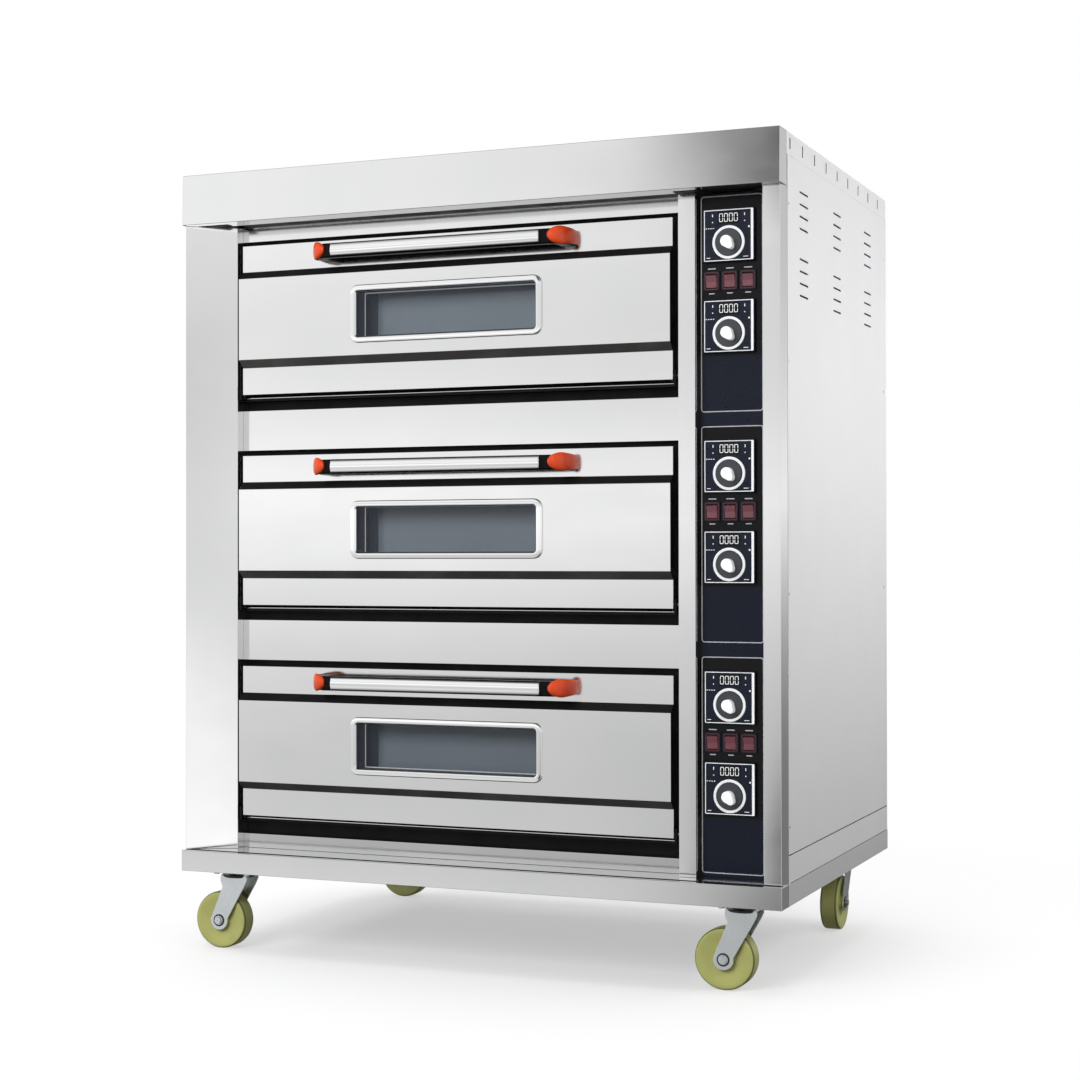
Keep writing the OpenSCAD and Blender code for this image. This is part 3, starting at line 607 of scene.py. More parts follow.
def panel_seams():
    """Dark joints between each side panel, its plinth and the base rail."""
    face_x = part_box("side_panels")[1].x
    base_top = 198 * MM
    plinth_top = base_top + 50 * MM
    seams = Shape()
    for z, rise, depth in ((plinth_top, 1.9 * MM, 0.6 * MM), (base_top, 1.1 * MM, 0.12 * MM)):
        ring = rectangle(y_at(60), z - rise / 2, y_at(812), z + rise / 2, 0.3 * MM, 2)
        for side in (-1, 1):
            x1, x2 = sorted((side * (face_x - 3.4 * MM), side * (face_x - depth)))
            seams.slab("x", ring, x1, x2)
    shaped("panel_seams", seams, BLACK_SHEET, CABINET)


def cabinet():
    """Sheet parts of the cabinet and the parts inside it."""
    top_hood()
    base_frame()
    deck_fascias()
    ledge_lips()
    hood_shadow_strips()
    panel_seams()
    for node in ("left_column", "mullion", "right_column"):
        softened(node, STEEL_UPRIGHT, SHEET_EDGE)
    side_panels()
    for node in ("roof_cover", "rear_panel"):
        softened(node, PAINT, PANEL_EDGE)
    softened("oven_chambers", BLACK_SHEET, PANEL_EDGE)
    softened("insulation", WOOL, 6 * MM, "slabs")
    softened("hearth_plates", HEARTH, 1.5 * MM, "steel")
    softened("control_panel", PANEL, PANEL_EDGE, "board")
    softened("thermostats", CONTROLLER, 1.2 * MM, "cases")
    softened("caster_plates", ZINC, 0.8 * MM, "steel")
    heaters = frame["nodes"]["heating_elements"]
    heaters.data.materials.clear()
    heaters.data.materials.append(HEATER)


# ---------- doors

# Thickness of the end caps over the bar's front, and the straight end of each foot
CAP_WALL = 9 * MM
FOOT_STRAIGHT = 6 * MM


def door(deck):
    """Front, liner, window and handle of one door."""
    body = f"{deck}_door"
    skin = softened(f"{deck}_door_skin", STEEL_LEVEL, SHEET_EDGE)
    paint_fold_shade(skin)
    softened(f"{deck}_door_liner", GALVANISED, SHEET_EDGE)
    window(deck, body)
    handle(deck, body)


def paint_fold_shade(skin):
    """Paints shade onto the sloping folds between the main panel and the strips: dark enamel stands in for
    the dark their polished steel mirrors, darker on the folds that face up than on those that face down.
    """
    skin.data.materials.append(UPPER_FOLD_PAINTED_SHADE)
    skin.data.materials.append(LOWER_FOLD_PAINTED_SHADE)
    # The main panel's face is 45 mm deep and the strips' faces are 61 mm deep
    fold_front, fold_back = y_at(46), y_at(60)
    for face in skin.data.polygons:
        between = fold_front < face.center.y < fold_back
        if between and face.normal.y < -0.2 and abs(face.normal.z) > 0.3:
            face.material_index = 1 if face.normal.z > 0 else 2


def window(deck, body):
    """Chrome frame, two panes and the dark tunnel between them."""
    low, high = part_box(f"{deck}_window_frame")
    rim = 10.5 * MM
    outline = rectangle(low.x + rim, low.z + rim, high.x - rim, high.z - rim, 7 * MM)
    bead = mm((-3, 0), (-3, -0.8), (-2.4, -2.6), (-1.2, -4), (0.2, -4.7), (2, -4.9), (8.2, -4.6),
              (9.2, -4.3), (10, -3.6), (10.4, -2.4), (10.5, -1), (10.5, 0))
    shape = Shape()
    shape.frame_band(outline, [(out, high.y + rise) for out, rise in bead])
    shaped(f"{deck}_window_bead", shape, CHROME, body, (f"{deck}_window_frame",), smooth=50)

    low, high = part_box(f"{deck}_door_glass")
    thick = 4 * MM
    glass_edge = rectangle(low.x, low.z, high.x, high.z, 1 * MM, 3)
    outer = Shape().slab("y", glass_edge, low.y, low.y + thick, 0.4 * MM)
    shaped(f"{deck}_outer_pane", outer, OUTER_GLASS, body, (f"{deck}_door_glass",))
    inner = Shape().slab("y", glass_edge, high.y - thick, high.y, 0.4 * MM)
    shaped(f"{deck}_inner_pane", inner, INNER_GLASS, body)

    wall = 0.6 * MM
    inside = rectangle(low.x + wall, low.z + wall, high.x - wall, high.z - wall, 2 * MM, 3)
    start = low.y + thick + 1 * MM
    end = high.y - thick - 1 * MM
    lining = Shape().line(inside, 0.8 * wall, end, start)
    shaped(f"{deck}_window_tunnel", lining, TUNNEL, body)
    # Painted highlight: a thin glowing white line round the edge of the inner pane
    seam = start + 0.66 * (end - start)
    trim = Shape().line(inside, -1.6 * MM, seam, seam - 1 * MM)
    shaped(f"{deck}_pane_trim_highlight", trim, PRINT, body)
    # Dark strips at the left and right edges of the inner pane: painted shade
    borders = Shape()
    border = 20 * MM
    for x1, x2 in ((low.x + wall, low.x + border), (high.x - border, high.x - wall)):
        ring = rectangle(x1, low.z + wall, x2, high.z - wall, 1 * MM, 2)
        borders.slab("y", ring, end - 0.2 * MM, end + 0.9 * MM)
    shaped(f"{deck}_pane_borders", borders, PANE_SHADE_BORDER, body)


def quarter_bend(x0, y0, x1, y1, steps=10):
    """Plan points of a quarter ellipse that turns from the bar at (x0, y0) back to the door."""
    turns = [math.pi / 2 * i / steps for i in range(steps + 1)]
    return [Vector((x0 + (x1 - x0) * math.sin(t), y1 + (y0 - y1) * math.cos(t))) for t in turns]


def handle(deck, body):
    """Moulded bar with bent feet, a polished strip let into its front, and two end caps."""
    low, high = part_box(f"{deck}_handle_body")
    caps_low, caps_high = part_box(f"{deck}_handle_caps")
    tube_low, tube_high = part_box(f"{deck}_handle_tube")
    centre_x = (low.x + high.x) / 2
    centre_z = (low.z + high.z) / 2
    bar_front = caps_low.y + CAP_WALL
    length = tube_high.x - tube_low.x
    nose = length / 2 + 16 * MM

    bar = Shape().slab("z", bar_outline(centre_x, nose, bar_front, high), low.z, high.z, 3.5 * MM)
    shaped(f"{deck}_handle_bar", bar, HANDLE_BLACK, body, (f"{deck}_handle_body",), 50)

    rings = []
    half_h = 11.8 * MM
    bulge = 2.6 * MM
    steps = 14
    base_y, back_y = bar_front - 5.4 * MM, bar_front + 3 * MM
    for share, size in ((0, 0.80), (0.002, 0.95), (0.005, 1.0), (0.995, 1.0), (0.998, 0.95), (1, 0.80)):
        x = tube_low.x + length * share
        ring = []
        for i in range(steps + 1):
            turn = math.pi * i / steps
            bend, rise = bulge * size * math.sin(turn), half_h * size * math.cos(turn)
            ring.append(Vector((x, base_y - bend, centre_z + rise)))
        ring += [Vector((x, back_y, centre_z + edge * half_h * size)) for edge in (-1, 1)]
        rings.append(ring)
    strip = Shape()
    strip.loft(rings)
    shaped(f"{deck}_handle_strip", strip, CHROME, body, (f"{deck}_handle_tube",), 60)

    # In the photo the caps stand a little taller, higher and wider than the plain ones of the CAD
    height = 1.18 * (caps_high.z - caps_low.z)
    reach = caps_high.x - centre_x + 5 * MM
    caps = Shape()
    for side in (-1, 1):
        caps.loft(cap_rings(side, (centre_x, centre_z + 1.5 * MM), nose, reach, (caps_low.y, high.y), height))
    shaped(f"{deck}_end_caps", caps, ORANGE, body, (f"{deck}_handle_caps",), 60)


def bar_outline(centre_x, nose, bar_front, high):
    """Plan of the bar and its two bent feet."""
    bar_thick = 18 * MM
    foot_thick = 24 * MM
    foot_y = high.y
    outer = high.x - centre_x
    inner = outer - foot_thick
    half = quarter_bend(nose, bar_front, outer, foot_y - FOOT_STRAIGHT)
    half += [Vector((outer, foot_y)), Vector((inner, foot_y))]
    half += reversed(quarter_bend(nose, bar_front + bar_thick, inner, foot_y - FOOT_STRAIGHT))
    mirrored = [Vector((-p.x, p.y)) for p in reversed(half)]
    return [Vector((p.x + centre_x, p.y)) for p in half + mirrored]


def cap_rings(side, centre, nose, reach, depths, height):
    """Sections of a bullet-shaped cap: its nose points along the bar, its flat end meets the door."""
    front_y, foot_y = depths
    foot_wall = 4 * MM
    steps = 14
    path_out = quarter_bend(nose, front_y, reach, foot_y - FOOT_STRAIGHT, steps)
    path_out.append(Vector((reach, foot_y)))
    path_in = quarter_bend(nose, front_y + CAP_WALL, reach - foot_wall, foot_y - FOOT_STRAIGHT, steps)
    path_in.append(Vector((reach - foot_wall, foot_y)))
    rings = []
    for i, (out, back) in enumerate(zip(path_out, path_in)):
        share = min(1.0, (i + 0.35) / (0.5 * steps))
        grow = math.sqrt(max(0.0, 1 - (1 - share) ** 2))
        taper = 1 - 0.22 * max(0.0, (i / steps - 0.45) / 0.55)
        half_h = height / 2 * grow * taper
        thick = back + (out - back) * (0.25 + 0.75 * grow)
        ring = []
        for k in range(13):
            turn = math.pi * k / 12
            depth = math.sin(turn) ** 0.7
            point = back + (thick - back) * depth
            ring.append(Vector((centre[0] + side * point.x, point.y, centre[1] + half_h * math.cos(turn))))
        rings.append(ring)
    return rings


# ---------- controls


def controls(deck):
    """Printed panel, controllers, knobs and rockers of one deck."""
    for place in ("top", "bottom"):
        node = f"{deck}_{place}_heat_knob"
        axis = joint_at(f"{node}_turn")
        controller_face(f"{deck}_{place}", axis)
        knob(node, axis)
    for place in PLACES:
        rocker(f"{deck}_{place}_rocker")
    panel_print(deck)
    rocker_surrounds(deck)


def outline_edges():
    """Left and right edge of the printed outlines on the control panel."""
    low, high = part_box("control_panel")
    return low.x + 6 * MM, high.x - 17 * MM


def panel_print(deck):
    """Printed outline of one deck's part of the control panel, and its black field."""
    skin_low, skin_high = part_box(f"{deck}_door_skin")
    x1, x2 = outline_edges()
    ring = rectangle(x1, skin_low.z - 58.5 * MM, x2, skin_high.z + 33 * MM, 4 * MM)
    outline = Shape().line(ring, 1.8 * MM, BOARD_Y, BOARD_Y - 0.4 * MM)
    shaped(f"{deck}_panel_outline", outline, PRINT_DIM, CABINET)
    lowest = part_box(f"{deck}_bottom_heat_knob")[0].z - 16 * MM
    ring = rectangle(x1 - 5 * MM, lowest, x2 + 0.5 * MM, skin_high.z + 32 * MM, 3 * MM, 3)
    field = Shape().slab("y", ring, BOARD_Y - 0.2 * MM, BOARD_Y, 0.05 * MM)
    shaped(f"{deck}_black_field", field, BEZEL, CABINET)


def rocker_surrounds(deck):
    """Rims round the rockers, and bars that stand for the lettering over and under them."""
    marks = Shape()
    rims = Shape()
    rim_y = BOARD_Y - 3 * MM
    for place in PLACES:
        low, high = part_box(f"{deck}_{place}_rocker")
        x, z = (low.x + high.x) / 2, (low.z + high.z) / 2
        for rise, width in mm((22.5, 15), (-22.5, 11)):
            marks.slab("y", centred(x, z + rise, width, 2 * MM, 0.8 * MM, 3), BOARD_Y - 0.3 * MM, BOARD_Y)
        rims.line(centred(x, z, 21.4 * MM, 27.4 * MM, 1 * MM, 3), 2.6 * MM, rim_y, rim_y - 0.4 * MM)
    shaped(f"{deck}_switch_marks", marks, PRINT_DIM, CABINET)
    shaped(f"{deck}_rocker_rims", rims, ROCKER_RIM, CABINET)


def controller_face(name, axis):
    """Border, display, dial ring and scale marks printed on one temperature controller."""
    face_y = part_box("thermostats")[0].y
    print_y = face_y - 0.35 * MM
    side = 96 * MM
    x, z = axis.x, axis.z + 13 * MM
    printed = Shape()
    printed.line(centred(x, z, side - 4 * MM, side - 4 * MM, 1.5 * MM, 3), -1.4 * MM, face_y, print_y)
    printed.slab("y", centred(x + 43.5 * MM, z, 4 * MM, side - 5 * MM, 0.6 * MM, 3), print_y, face_y)
    ring = [(0, 0), (0, -0.95), (0.6, -1.55), (4.4, -1.55), (5, -0.75), (5, 0)]
    printed.frame_band(circle(x, axis.z, 25.2 * MM), [(out, face_y + rise) for out, rise in mm(*ring)])
    for right, up, width, height in scale_marks():
        mark = centred(x + right * MM, z + up * MM, width * MM, height * MM, 0.3 * MM)
        printed.slab("y", mark, print_y, face_y)
    shaped(f"{name}_controller_print", printed, PRINT, CABINET)

    glass_z = z + 31.5 * MM
    glass_y = face_y - 0.8 * MM
    display = centred(x, glass_z, 40 * MM, 21 * MM, 1.5 * MM, 3)
    glass = Shape().slab("y", display, glass_y, face_y, 0.3 * MM)
    shaped(f"{name}_display_glass", glass, BEZEL, CABINET)
    digits = Shape()
    for i in range(4):
        nought(digits, x + (i - 1.5) * 9.2 * MM, glass_z, glass_y)
    shaped(f"{name}_display_digits", digits, PRINT, CABINET)


def scale_marks():
    """Offset and size, in millimetres, of the small marks round the dial and display."""
    marks = [(-30, 24, 2, 2), (30, 24, 2, 2), (-30, 36, 1.6, 5), (30, 36, 1.6, 5)]
    marks += [(-42 + 4.5 * i, 13, 2.6, 1.4) for i in range(4)]
    marks += [(38, 13, 3, 3), (-38, -40, 7, 1.2), (32, -40, 9, 1.2)]
    return marks


def nought(shape, x, z, y):
    """Seven-segment nought of the display."""
    wide, tall, bar = 6 * MM, 14 * MM, 1.3 * MM
    segments = [(0, up * tall / 2, wide, bar) for up in (-1, 1)]
    for right in (-1, 1):
        segments += [(right * wide / 2, up * tall / 4, bar, tall / 2 - bar) for up in (-1, 1)]
    for right, up, width, height in segments:
        shape.slab("y", centred(x + right, z + up, width, height, 0.3 * MM), y - 0.25 * MM, y)


def knob(node, axis):
    """Grey dial plate with a white grip that narrows to a pointer."""
    disc_y = BOARD_Y - 9 * MM
    dial = Shape()
    profile = mm((3, 12), (3, 0.2), (24, 0), (24.5, -0.5), (24.5, -2.2), (23.8, -3), (13, -3), (12, -2.6))
    dial.lathe(profile, Vector((axis.x, disc_y, axis.z)), "y")
    shaped(f"{node}_dial", dial, DIAL, node, (node,))

    outline = []
    radius = 10.5 * MM
    tip = 16.5 * MM
    pointer = math.radians(-52)
    steps = 56
    for i in range(steps):
        turn = 2 * math.pi * i / steps
        reach = radius + (tip - radius) * max(0.0, math.cos(turn)) ** 6
        angle = pointer + turn
        outline.append(Vector((axis.x + reach * math.cos(angle), axis.z + reach * math.sin(angle))))
    grip = Shape().slab("y", outline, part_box(node)[0].y, disc_y - 2.6 * MM, 1.6 * MM)
    # The grip's faint glow is painted light
    shaped(f"{node}_grip", grip, KNOB_PAINTED_GLOW, node, smooth=50)


def rocker(node):
    """Rocker cap with a shallow V face and rounded rims."""
    corners = mm((-3, 12.4), (-9.6, 11.2), (-8.4, 0), (-9.6, -11.2), (-3, -12.4), (5, -9), (5, 9))
    shape = Shape().slab("x", rounded(corners, 1 * MM), -10 * MM, 10 * MM, 0.8 * MM)
    shape.lathe(mm((1.5, -11.4), (1.5, 11.4)), Vector((0, 0, 0)), "x", 24)
    shape.move(Matrix.Translation(joint_at(f"{node}_tilt")) @ Matrix.Rotation(math.radians(7), 4, "X"))
    shaped(f"{node}_cap", shape, ROCKER, node, (node,), smooth=40)


# ---------- casters


# Across the fork, from its middle: the inner and outer face of each blade
BLADE_IN = 20.5 * MM
BLADE_OUT = 23.5 * MM


def caster(corner):
    """Pressed fork with its axle bolt, and a nylon wheel."""
    pin = joint_at(f"{corner}_swivel")
    hub = joint_at(f"{corner}_roll")
    heading = math.atan2(hub.y - pin.y, hub.x - pin.x)
    place = Matrix.Translation((pin.x, pin.y, 0)) @ Matrix.Rotation(heading, 4, "Z")
    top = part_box(f"{corner}_fork")[1].z
    low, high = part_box(f"{corner}_wheel")
    radius = (high.z - low.z) / 2
    # Every shape is built about the swivel pin and trails along +X until it is placed
    axle = Vector((math.hypot(hub.x - pin.x, hub.y - pin.y), 0, hub.z))
    for name, shape, material, stands_for in (
            ("fork_blades", fork_blades(top, axle), ZINC, (f"{corner}_fork",)),
            ("shaded_race_and_washers", shaded_race_and_washers(top, axle), RACE_PAINTED_SHADE, ()),
            ("axle_bolt", axle_bolt(axle), ZINC, ())):
        shape.move(place)
        shaped(f"{corner}_{name}", shape, material, f"{corner}_fork", stands_for, 40)
    wheel = nylon_wheel(axle, radius)
    wheel.move(place)
    tyre = shaped(f"{corner}_nylon_wheel", wheel, NYLON, f"{corner}_wheel", (f"{corner}_wheel",), 40)
    # Faces round the tread's shoulders get the darker olive, as painted shade
    tyre.data.materials.append(NYLON_EDGE_PAINTED_SHADE)
    across = Vector((-math.sin(heading), math.cos(heading), 0))
    for face in tyre.data.polygons:
        arm = face.center - hub
        off = arm.dot(across)
        if (arm - across * off).length > 0.955 * radius and abs(off) > 14 * MM:
            face.material_index = 1


def fork_blades(top, axle):
    """Two blades with round ends, under a plate with round corners."""
    end_radius = 19 * MM
    turns = [math.radians(170 + 200 * i / 16) for i in range(17)]
    outline = [(axle.x + end_radius * math.cos(t), axle.z + end_radius * math.sin(t)) for t in turns]
    shoulders = mm((25, 24), (30, 12), (30, 0.5), (-30, 0.5), (-30, 10), (-24, 22))
    outline += [(x, top - drop) for x, drop in shoulders]
    shape = Shape()
    for side in (-1, 1):
        shape.slab("y", rounded(outline, 6 * MM, 3), *sorted((side * BLADE_IN, side * BLADE_OUT)), 0.8 * MM)
    plate = centred(0, 0, 60 * MM, 2 * BLADE_OUT, 5 * MM, 6)
    shape.slab("z", plate, top - (BLADE_OUT - BLADE_IN), top, 0.8 * MM)
    return shape


def turn_outside(shape, profile, axle, steps=40):
    """Turns a profile about the axle on both sides of the fork; heights start at the blade."""
    for side in (-1, 1):
        shape.lathe([(r, side * (BLADE_OUT + h)) for r, h in profile], axle, "y", steps)


def shaded_race_and_washers(top, axle):
    """Swivel race on top of the fork and the washers under the axle bolt, both in dark steel as painted
    shade.
    """
    shape = Shape()
    race = mm((22, -5.5), (30, -5), (32.5, -3.4), (33, -0.6), (32.6, -0.2), (22, -0.2))
    shape.lathe(race, Vector((0, 0, top)), "z")
    turn_outside(shape, mm((12, 0), (12, 0.7), (11.4, 1.1), (9, 1.1)), axle)
    return shape


def axle_bolt(axle):
    """Bolt through the wheel, with a washer, a hexagon and a domed end on both sides."""
    shape = Shape()
    shape.lathe([(5 * MM, -BLADE_OUT), (5 * MM, BLADE_OUT)], axle, "y", 32)
    turn_outside(shape, mm((9, 0), (9, 1.6), (8.4, 2)), axle)
    turn_outside(shape, mm((4.6, 3.2), (4.2, 4.6), (2.8, 5.6), (0.8, 6)), axle, 32)
    hexagon = rounded(circle(axle.x, axle.z, 7.6 * MM, 6), 0.8 * MM)
    for side in (-1, 1):
        ends = sorted((side * (BLADE_OUT + 1.4 * MM), side * (BLADE_OUT + 6 * MM)))
        shape.slab("y", hexagon, *ends, 0.7 * MM)
    return shape


def nylon_wheel(axle, radius):
    """Wheel with a raised hub, dished sides and a tread with round shoulders."""
    half = mm((6, 19), (13.5, 19), (15, 18.2), (16.5, 14.5), (22, 13.6), (30, 14.2), (38, 15.6),
              (45, 17.2), (50.5, 17.4), (53.6, 17), (55.2, 15.6), (55.8, 13.4), (56, 9), (56, 0))
    scale = radius / half[-1][0]
    side = [(r * scale, h) for r, h in half]
    profile = side + [(r, -h) for r, h in reversed(side[:-1])]
    shape = Shape()
    shape.lathe(profile + profile[:1], axle, "y", 96, caps=False)
    return shape


# ---------- fittings


def panel_screws():
    """Pan-head screws along the edges of the side panels."""
    face_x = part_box("side_panels")[1].x
    head = mm((4.2, 0), (4.2, 0.6), (3.78, 1.3), (2.52, 1.9), (1.05, 2.1))
    shape = Shape()
    for side in (-1, 1):
        profile = [(r, side * h) for r, h in head]
        for depth, height in ((56, 1400), (55, 1121), (52, 709), (54, 298), (793, 1400), (793, 1121),
                              (793, 710), (789, 291)):
            origin = Vector((side * (face_x - 2.2 * MM), y_at(depth), height * MM))
            shape.lathe(profile, origin, "x", 24)
    shaped("panel_screws", shape, ZINC, CABINET)


def louvres(name, side):
    """Pressed lips that turn inward behind a side panel's slots, in black sheet as painted shade inside the
    slots, and the brows over the slots.
    """
    face_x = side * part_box("side_panels")[1].x
    lowest = 1244 * MM
    section = mm((1.6, 7.4), (4.5, 5.4), (6.5, 2), (7.4, -3), (6.6, -3), (5.6, 1.4), (3.8, 4.6), (1.6, 6.2))
    x1, x2 = sorted((face_x - side * 1.5 * MM, face_x - side * 0.62 * MM))
    lips = Shape()
    brows = Shape()
    for depth in (158, 402, 652):
        y1, y2 = y_at(depth - 30), y_at(depth + 30)
        for group in (0, 1):
            for row in range(4):
                z = lowest + (121 * group + 22 * row) * MM
                outline = [Vector((face_x - side * inward, z + rise)) for inward, rise in section]
                lips.loft([[placed("y", p, y) for p in outline] for y in (y1, y2)])
                brow = rectangle(x1, z + 3.5 * MM, x2, z + 6.1 * MM, 0.35 * MM, 2)
                brows.slab("y", brow, y1 + 0.6 * MM, y2 - 0.6 * MM)
    # Black lips: painted shade inside the slots
    shaped(name, lips, BLACK_SHEET, CABINET)
    shaped(f"{name}_brows", brows, PAINT, CABINET)


def foot_line():
    """Thin dark joint where the columns and the control panel stand on the base."""
    low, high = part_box("base_frame")
    top_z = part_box("control_panel")[0].z
    ring = rectangle(y_at(13.5), top_z - 0.2 * MM, y_at(18.5), top_z + 0.7 * MM, 0.2 * MM, 2)
    line = Shape().slab("x", ring, low.x + 3 * MM, high.x - 3 * MM)
    shaped("foot_line", line, BLACK_SHEET, CABINET)


def panel_border():
    """Black edge of the control panel, between the mullion and the printed outlines."""
    low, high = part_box("control_panel")
    right = outline_edges()[0] - 0.4 * MM
    ring = rectangle(low.x + 0.5 * MM, low.z + 1 * MM, right, high.z - 1 * MM, 0.4 * MM, 2)
    border = Shape().slab("y", ring, BOARD_Y - 0.2 * MM, BOARD_Y, 0.05 * MM)
    shaped("panel_border", border, BEZEL, CABINET)


def rear_baffle():
    """Black plate behind the rear louvres, which keeps the insulation out of sight."""
    low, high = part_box("rear_panel")
    margin = 60 * MM
    slots_low, slots_high = 1236 * MM, 1376 * MM
    ring = rectangle(low.x + margin, slots_low, high.x - margin, slots_high, 4 * MM, 3)
    behind = high.y - 3.4 * MM
    plate = Shape().slab("y", ring, behind, behind + 1 * MM, 0.2 * MM)
    shaped("rear_baffle", plate, BLACK_SHEET, CABINET)


def fittings():
    """Small parts on the cabinet: screws, louvre lips, joints and the plate behind the louvres."""
    panel_screws()
    louvres("right_louvre_shade_lips", 1)
    louvres("left_louvre_shade_lips", -1)
    rear_baffle()
    foot_line()
    panel_border()


# ---------- stage


# Brightness that polished metal mirrors at each elevation, in degrees, in front of the oven
FRONT_BAND = ((-64, 0.0), (-52, 0.02), (-44, 0.04), (-35, 0.32), (-24, 0.55), (-17, 0.83), (-10, 0.78),
              (-6, 0.66), (-2, 0.82), (1.5, 1.26), (5, 0.88), (7.5, 0.90), (9.3, 1.12), (11, 1.0),
              (18, 1.02), (25, 0.82), (35, 0.42), (48, 0.13), (55, 0.03), (63, 0.0))
# The same behind the oven, which the sides and the back mirror
REAR_BAND = ((-60, 0.10), (-25, 0.24), (-12, 0.20), (-8, 0.20), (-5, 0.24), (-3, 0.38), (-1, 0.60),
             (1.5, 1.10), (5, 0.82), (8, 0.67), (14, 0.60), (35, 0.45), (60, 0.25), (80, 0.15))
# Soft spots: azimuth (0 straight out of the front, positive to the left), elevation, radius of the
# even core, radius where it ends, and what the band is multiplied by
SPOTS = ((13.5, 15, 3.2, 6.2, 0.02), (13, -10.5, 2, 5.5, 0.06), (-23, -9, 3, 9, 2), (-23, 2, 1.5, 5, 0.76))
# A colour ramp can't hold more than 1, so it holds brightness divided by this
BAND_TOP = 1.3


class World(Nodes):
    """Studio surroundings as a node tree."""

    def __init__(self):
        world = bpy.data.worlds.new("studio")
        bpy.context.scene.world = world
        world.use_nodes = True
        super().__init__(world.node_tree)
        self.tree.nodes.clear()
        self.direction = self.node("ShaderNodeTexCoord").outputs["Generated"]
        split = self.node("ShaderNodeSeparateXYZ")
        self.link(self.direction, split.inputs[0])
        self.x, self.y, self.z = split.outputs

    def multiply(self, first, second):
        """Product of two values; the second may be a plain number."""
        made = self.node("ShaderNodeMath", operation="MULTIPLY")
        self.link(first, made.inputs[0])
        if isinstance(second, float):
            made.inputs[1].default_value = second
        else:
            self.link(second, made.inputs[1])
        return made.outputs["Value"]

    def band(self, levels):
        """Brightness by elevation."""
        ramp = self.node("ShaderNodeValToRGB")
        elements = ramp.color_ramp.elements
        for i, (elevation, level) in enumerate(levels):
            place = (math.sin(math.radians(elevation)) + 1) / 2
            stop = elements[i] if i < 2 else elements.new(place)
            stop.position = place
            stop.color = (level / BAND_TOP,) * 3 + (1,)
        self.link(self.map(self.z, -1, 1, 0, 1), ramp.inputs["Fac"])
        return self.multiply(ramp.outputs["Color"], BAND_TOP)

    def spot(self, value, azimuth, elevation, core, edge, factor):
        """Brightens or darkens the surroundings round one direction."""
        a, e = math.radians(azimuth), math.radians(elevation)
        toward = (-math.sin(a) * math.cos(e), -math.cos(a) * math.cos(e), math.sin(e))
        aim = self.node("ShaderNodeVectorMath", {1: toward}, operation="DOT_PRODUCT")
        self.link(self.direction, aim.inputs[0])
        limits = math.cos(math.radians(edge)), math.cos(math.radians(core))
        return self.multiply(value, self.map(aim.outputs["Value"], *limits, 1.0, factor, smooth=True))

    def background(self, source):
        """Surroundings of one brightness."""
        made = self.node("ShaderNodeBackground")
        if isinstance(source, float):
            made.inputs["Color"].default_value = (source, source, source, 1)
        else:
            self.link(source, made.inputs["Color"])
        return made.outputs["Background"]


def world_light():
    """White to the camera, a bright band at eye level to polished metal, soft light for the rest."""
    world = World()
    behind = world.map(world.y, -0.15, 0.15, 0, 1, smooth=True)
    front = world.multiply(world.band(FRONT_BAND), world.map(world.x, -0.55, -0.22, 1.08, 0.90))
    for spot in SPOTS:
        front = world.spot(front, *spot)
    metal = world.blend(behind, world.background(front), world.background(world.band(REAR_BAND)))
    soft = world.background(world.map(world.z, -0.4, 0.6, 0.12, 0.42))
    path = world.node("ShaderNodeLightPath")
    unseen = world.blend(path.outputs["Is Glossy Ray"], soft, metal)
    seen = world.blend(path.outputs["Is Camera Ray"], unseen, world.background(1.0))
    world.link(seen, world.node("ShaderNodeOutputWorld").inputs["Surface"])


def area_light(name, place, aim, size, watts):
    """Soft lamp that lights matt surfaces and isn't mirrored in the metal; its size is in metres."""
    data = bpy.data.lights.new(name, "AREA")
    data.shape = "RECTANGLE"
    data.size, data.size_y = size
    data.energy = watts
    lamp = added(name, data)
    lamp.location = place
    lamp.rotation_mode = "QUATERNION"
    lamp.rotation_quaternion = (Vector(aim) - Vector(place)).to_track_quat("-Z", "Y")
    lamp.visible_glossy = False
    lamp.visible_camera = False


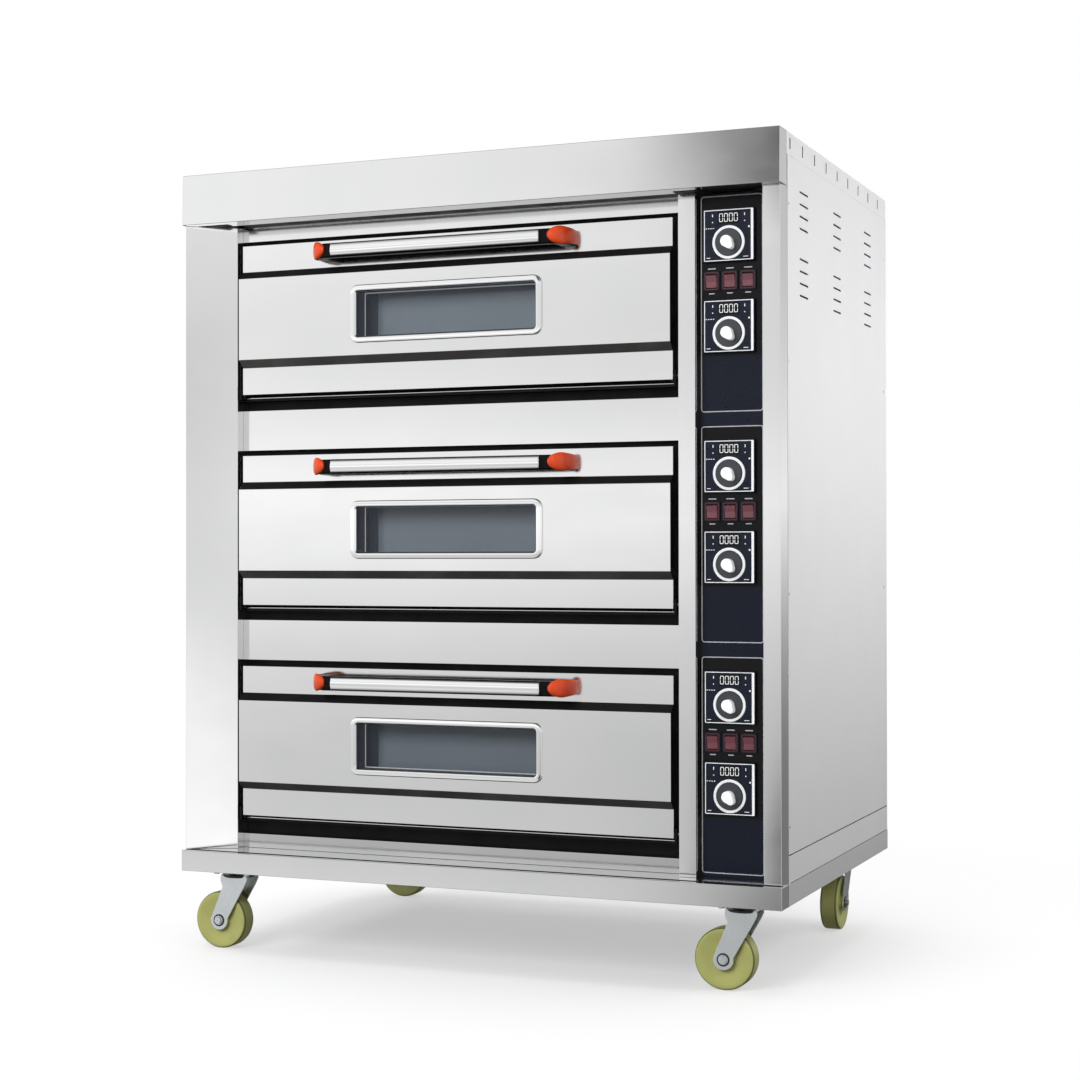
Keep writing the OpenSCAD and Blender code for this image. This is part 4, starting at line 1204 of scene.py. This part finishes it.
def floor():
    """Pale floor that fades into the white surroundings; only the camera sees it."""
    half = 12.0
    mesh = bpy.data.meshes.new("floor")
    corners = [(-half, -half, 0), (half, -half, 0), (half, half, 0), (-half, half, 0)]
    mesh.from_pydata(corners, [], [(0, 1, 2, 3)])
    obj = added("floor", mesh)
    pale = Shader("pale_floor", (0.93, 0.93, 0.93), 0.0, 0.9, Specular_IOR_Level=0.0)
    pale.tint(pale.noise(2, detail=3), (0.91, 0.91, 0.915))
    distance = pale.node("ShaderNodeVectorMath", operation="LENGTH")
    pale.link(pale.coordinates, distance.inputs[0])
    fade = pale.spread(distance.outputs["Value"], 0.45, 1.0, centre=1.1, width=0.6)
    glow = pale.node("ShaderNodeEmission")
    pale.show(pale.blend(fade, pale.principled.outputs["BSDF"], glow.outputs["Emission"]))
    obj.data.materials.append(pale.material)
    obj.visible_glossy = False
    obj.visible_diffuse = False


def camera():
    """Camera at the right front of the oven, at half its height, turned to face it."""
    yaw, pitch, roll = (math.radians(degrees) for degrees in (22.5224, 0.4311, -0.0805))
    turn = Matrix.Rotation(yaw, 4, "Z") @ Matrix.Rotation(math.pi / 2 + pitch, 4, "X")
    data = bpy.data.cameras.new("camera")
    data.lens = 67.356
    data.sensor_width = 36
    obj = added("camera", data)
    place = Matrix.Translation((1.5699, -3.8213, 0.7781))
    obj.matrix_world = place @ turn @ Matrix.Rotation(roll, 4, "Z")
    bpy.context.scene.camera = obj


cabinet()
for deck in DECKS:
    door(deck)
    controls(deck)
for corner in CORNERS:
    caster(corner)
fittings()
world_light()
area_light("side_light", (1.75, 0.1, 1.2), (0.6, 0.1, 1.2), (2.4, 0.5), 16)
area_light("left_light", (-1.75, 0.1, 1.2), (-0.6, 0.1, 1.2), (2.4, 0.5), 15)
area_light("back_light", (0, 1.6, 1.3), (0, 0.4, 1.1), (2.4, 0.6), 9)
area_light("front_light", (-0.8, -3.6, 2.2), (0, 0, 0.8), (2.4, 1.6), 90)
area_light("top_light", (0, 0, 4), (0, 0, 0), (3, 3), 60)
floor()
camera()
bpy.context.scene.view_settings.view_transform = "Standard"
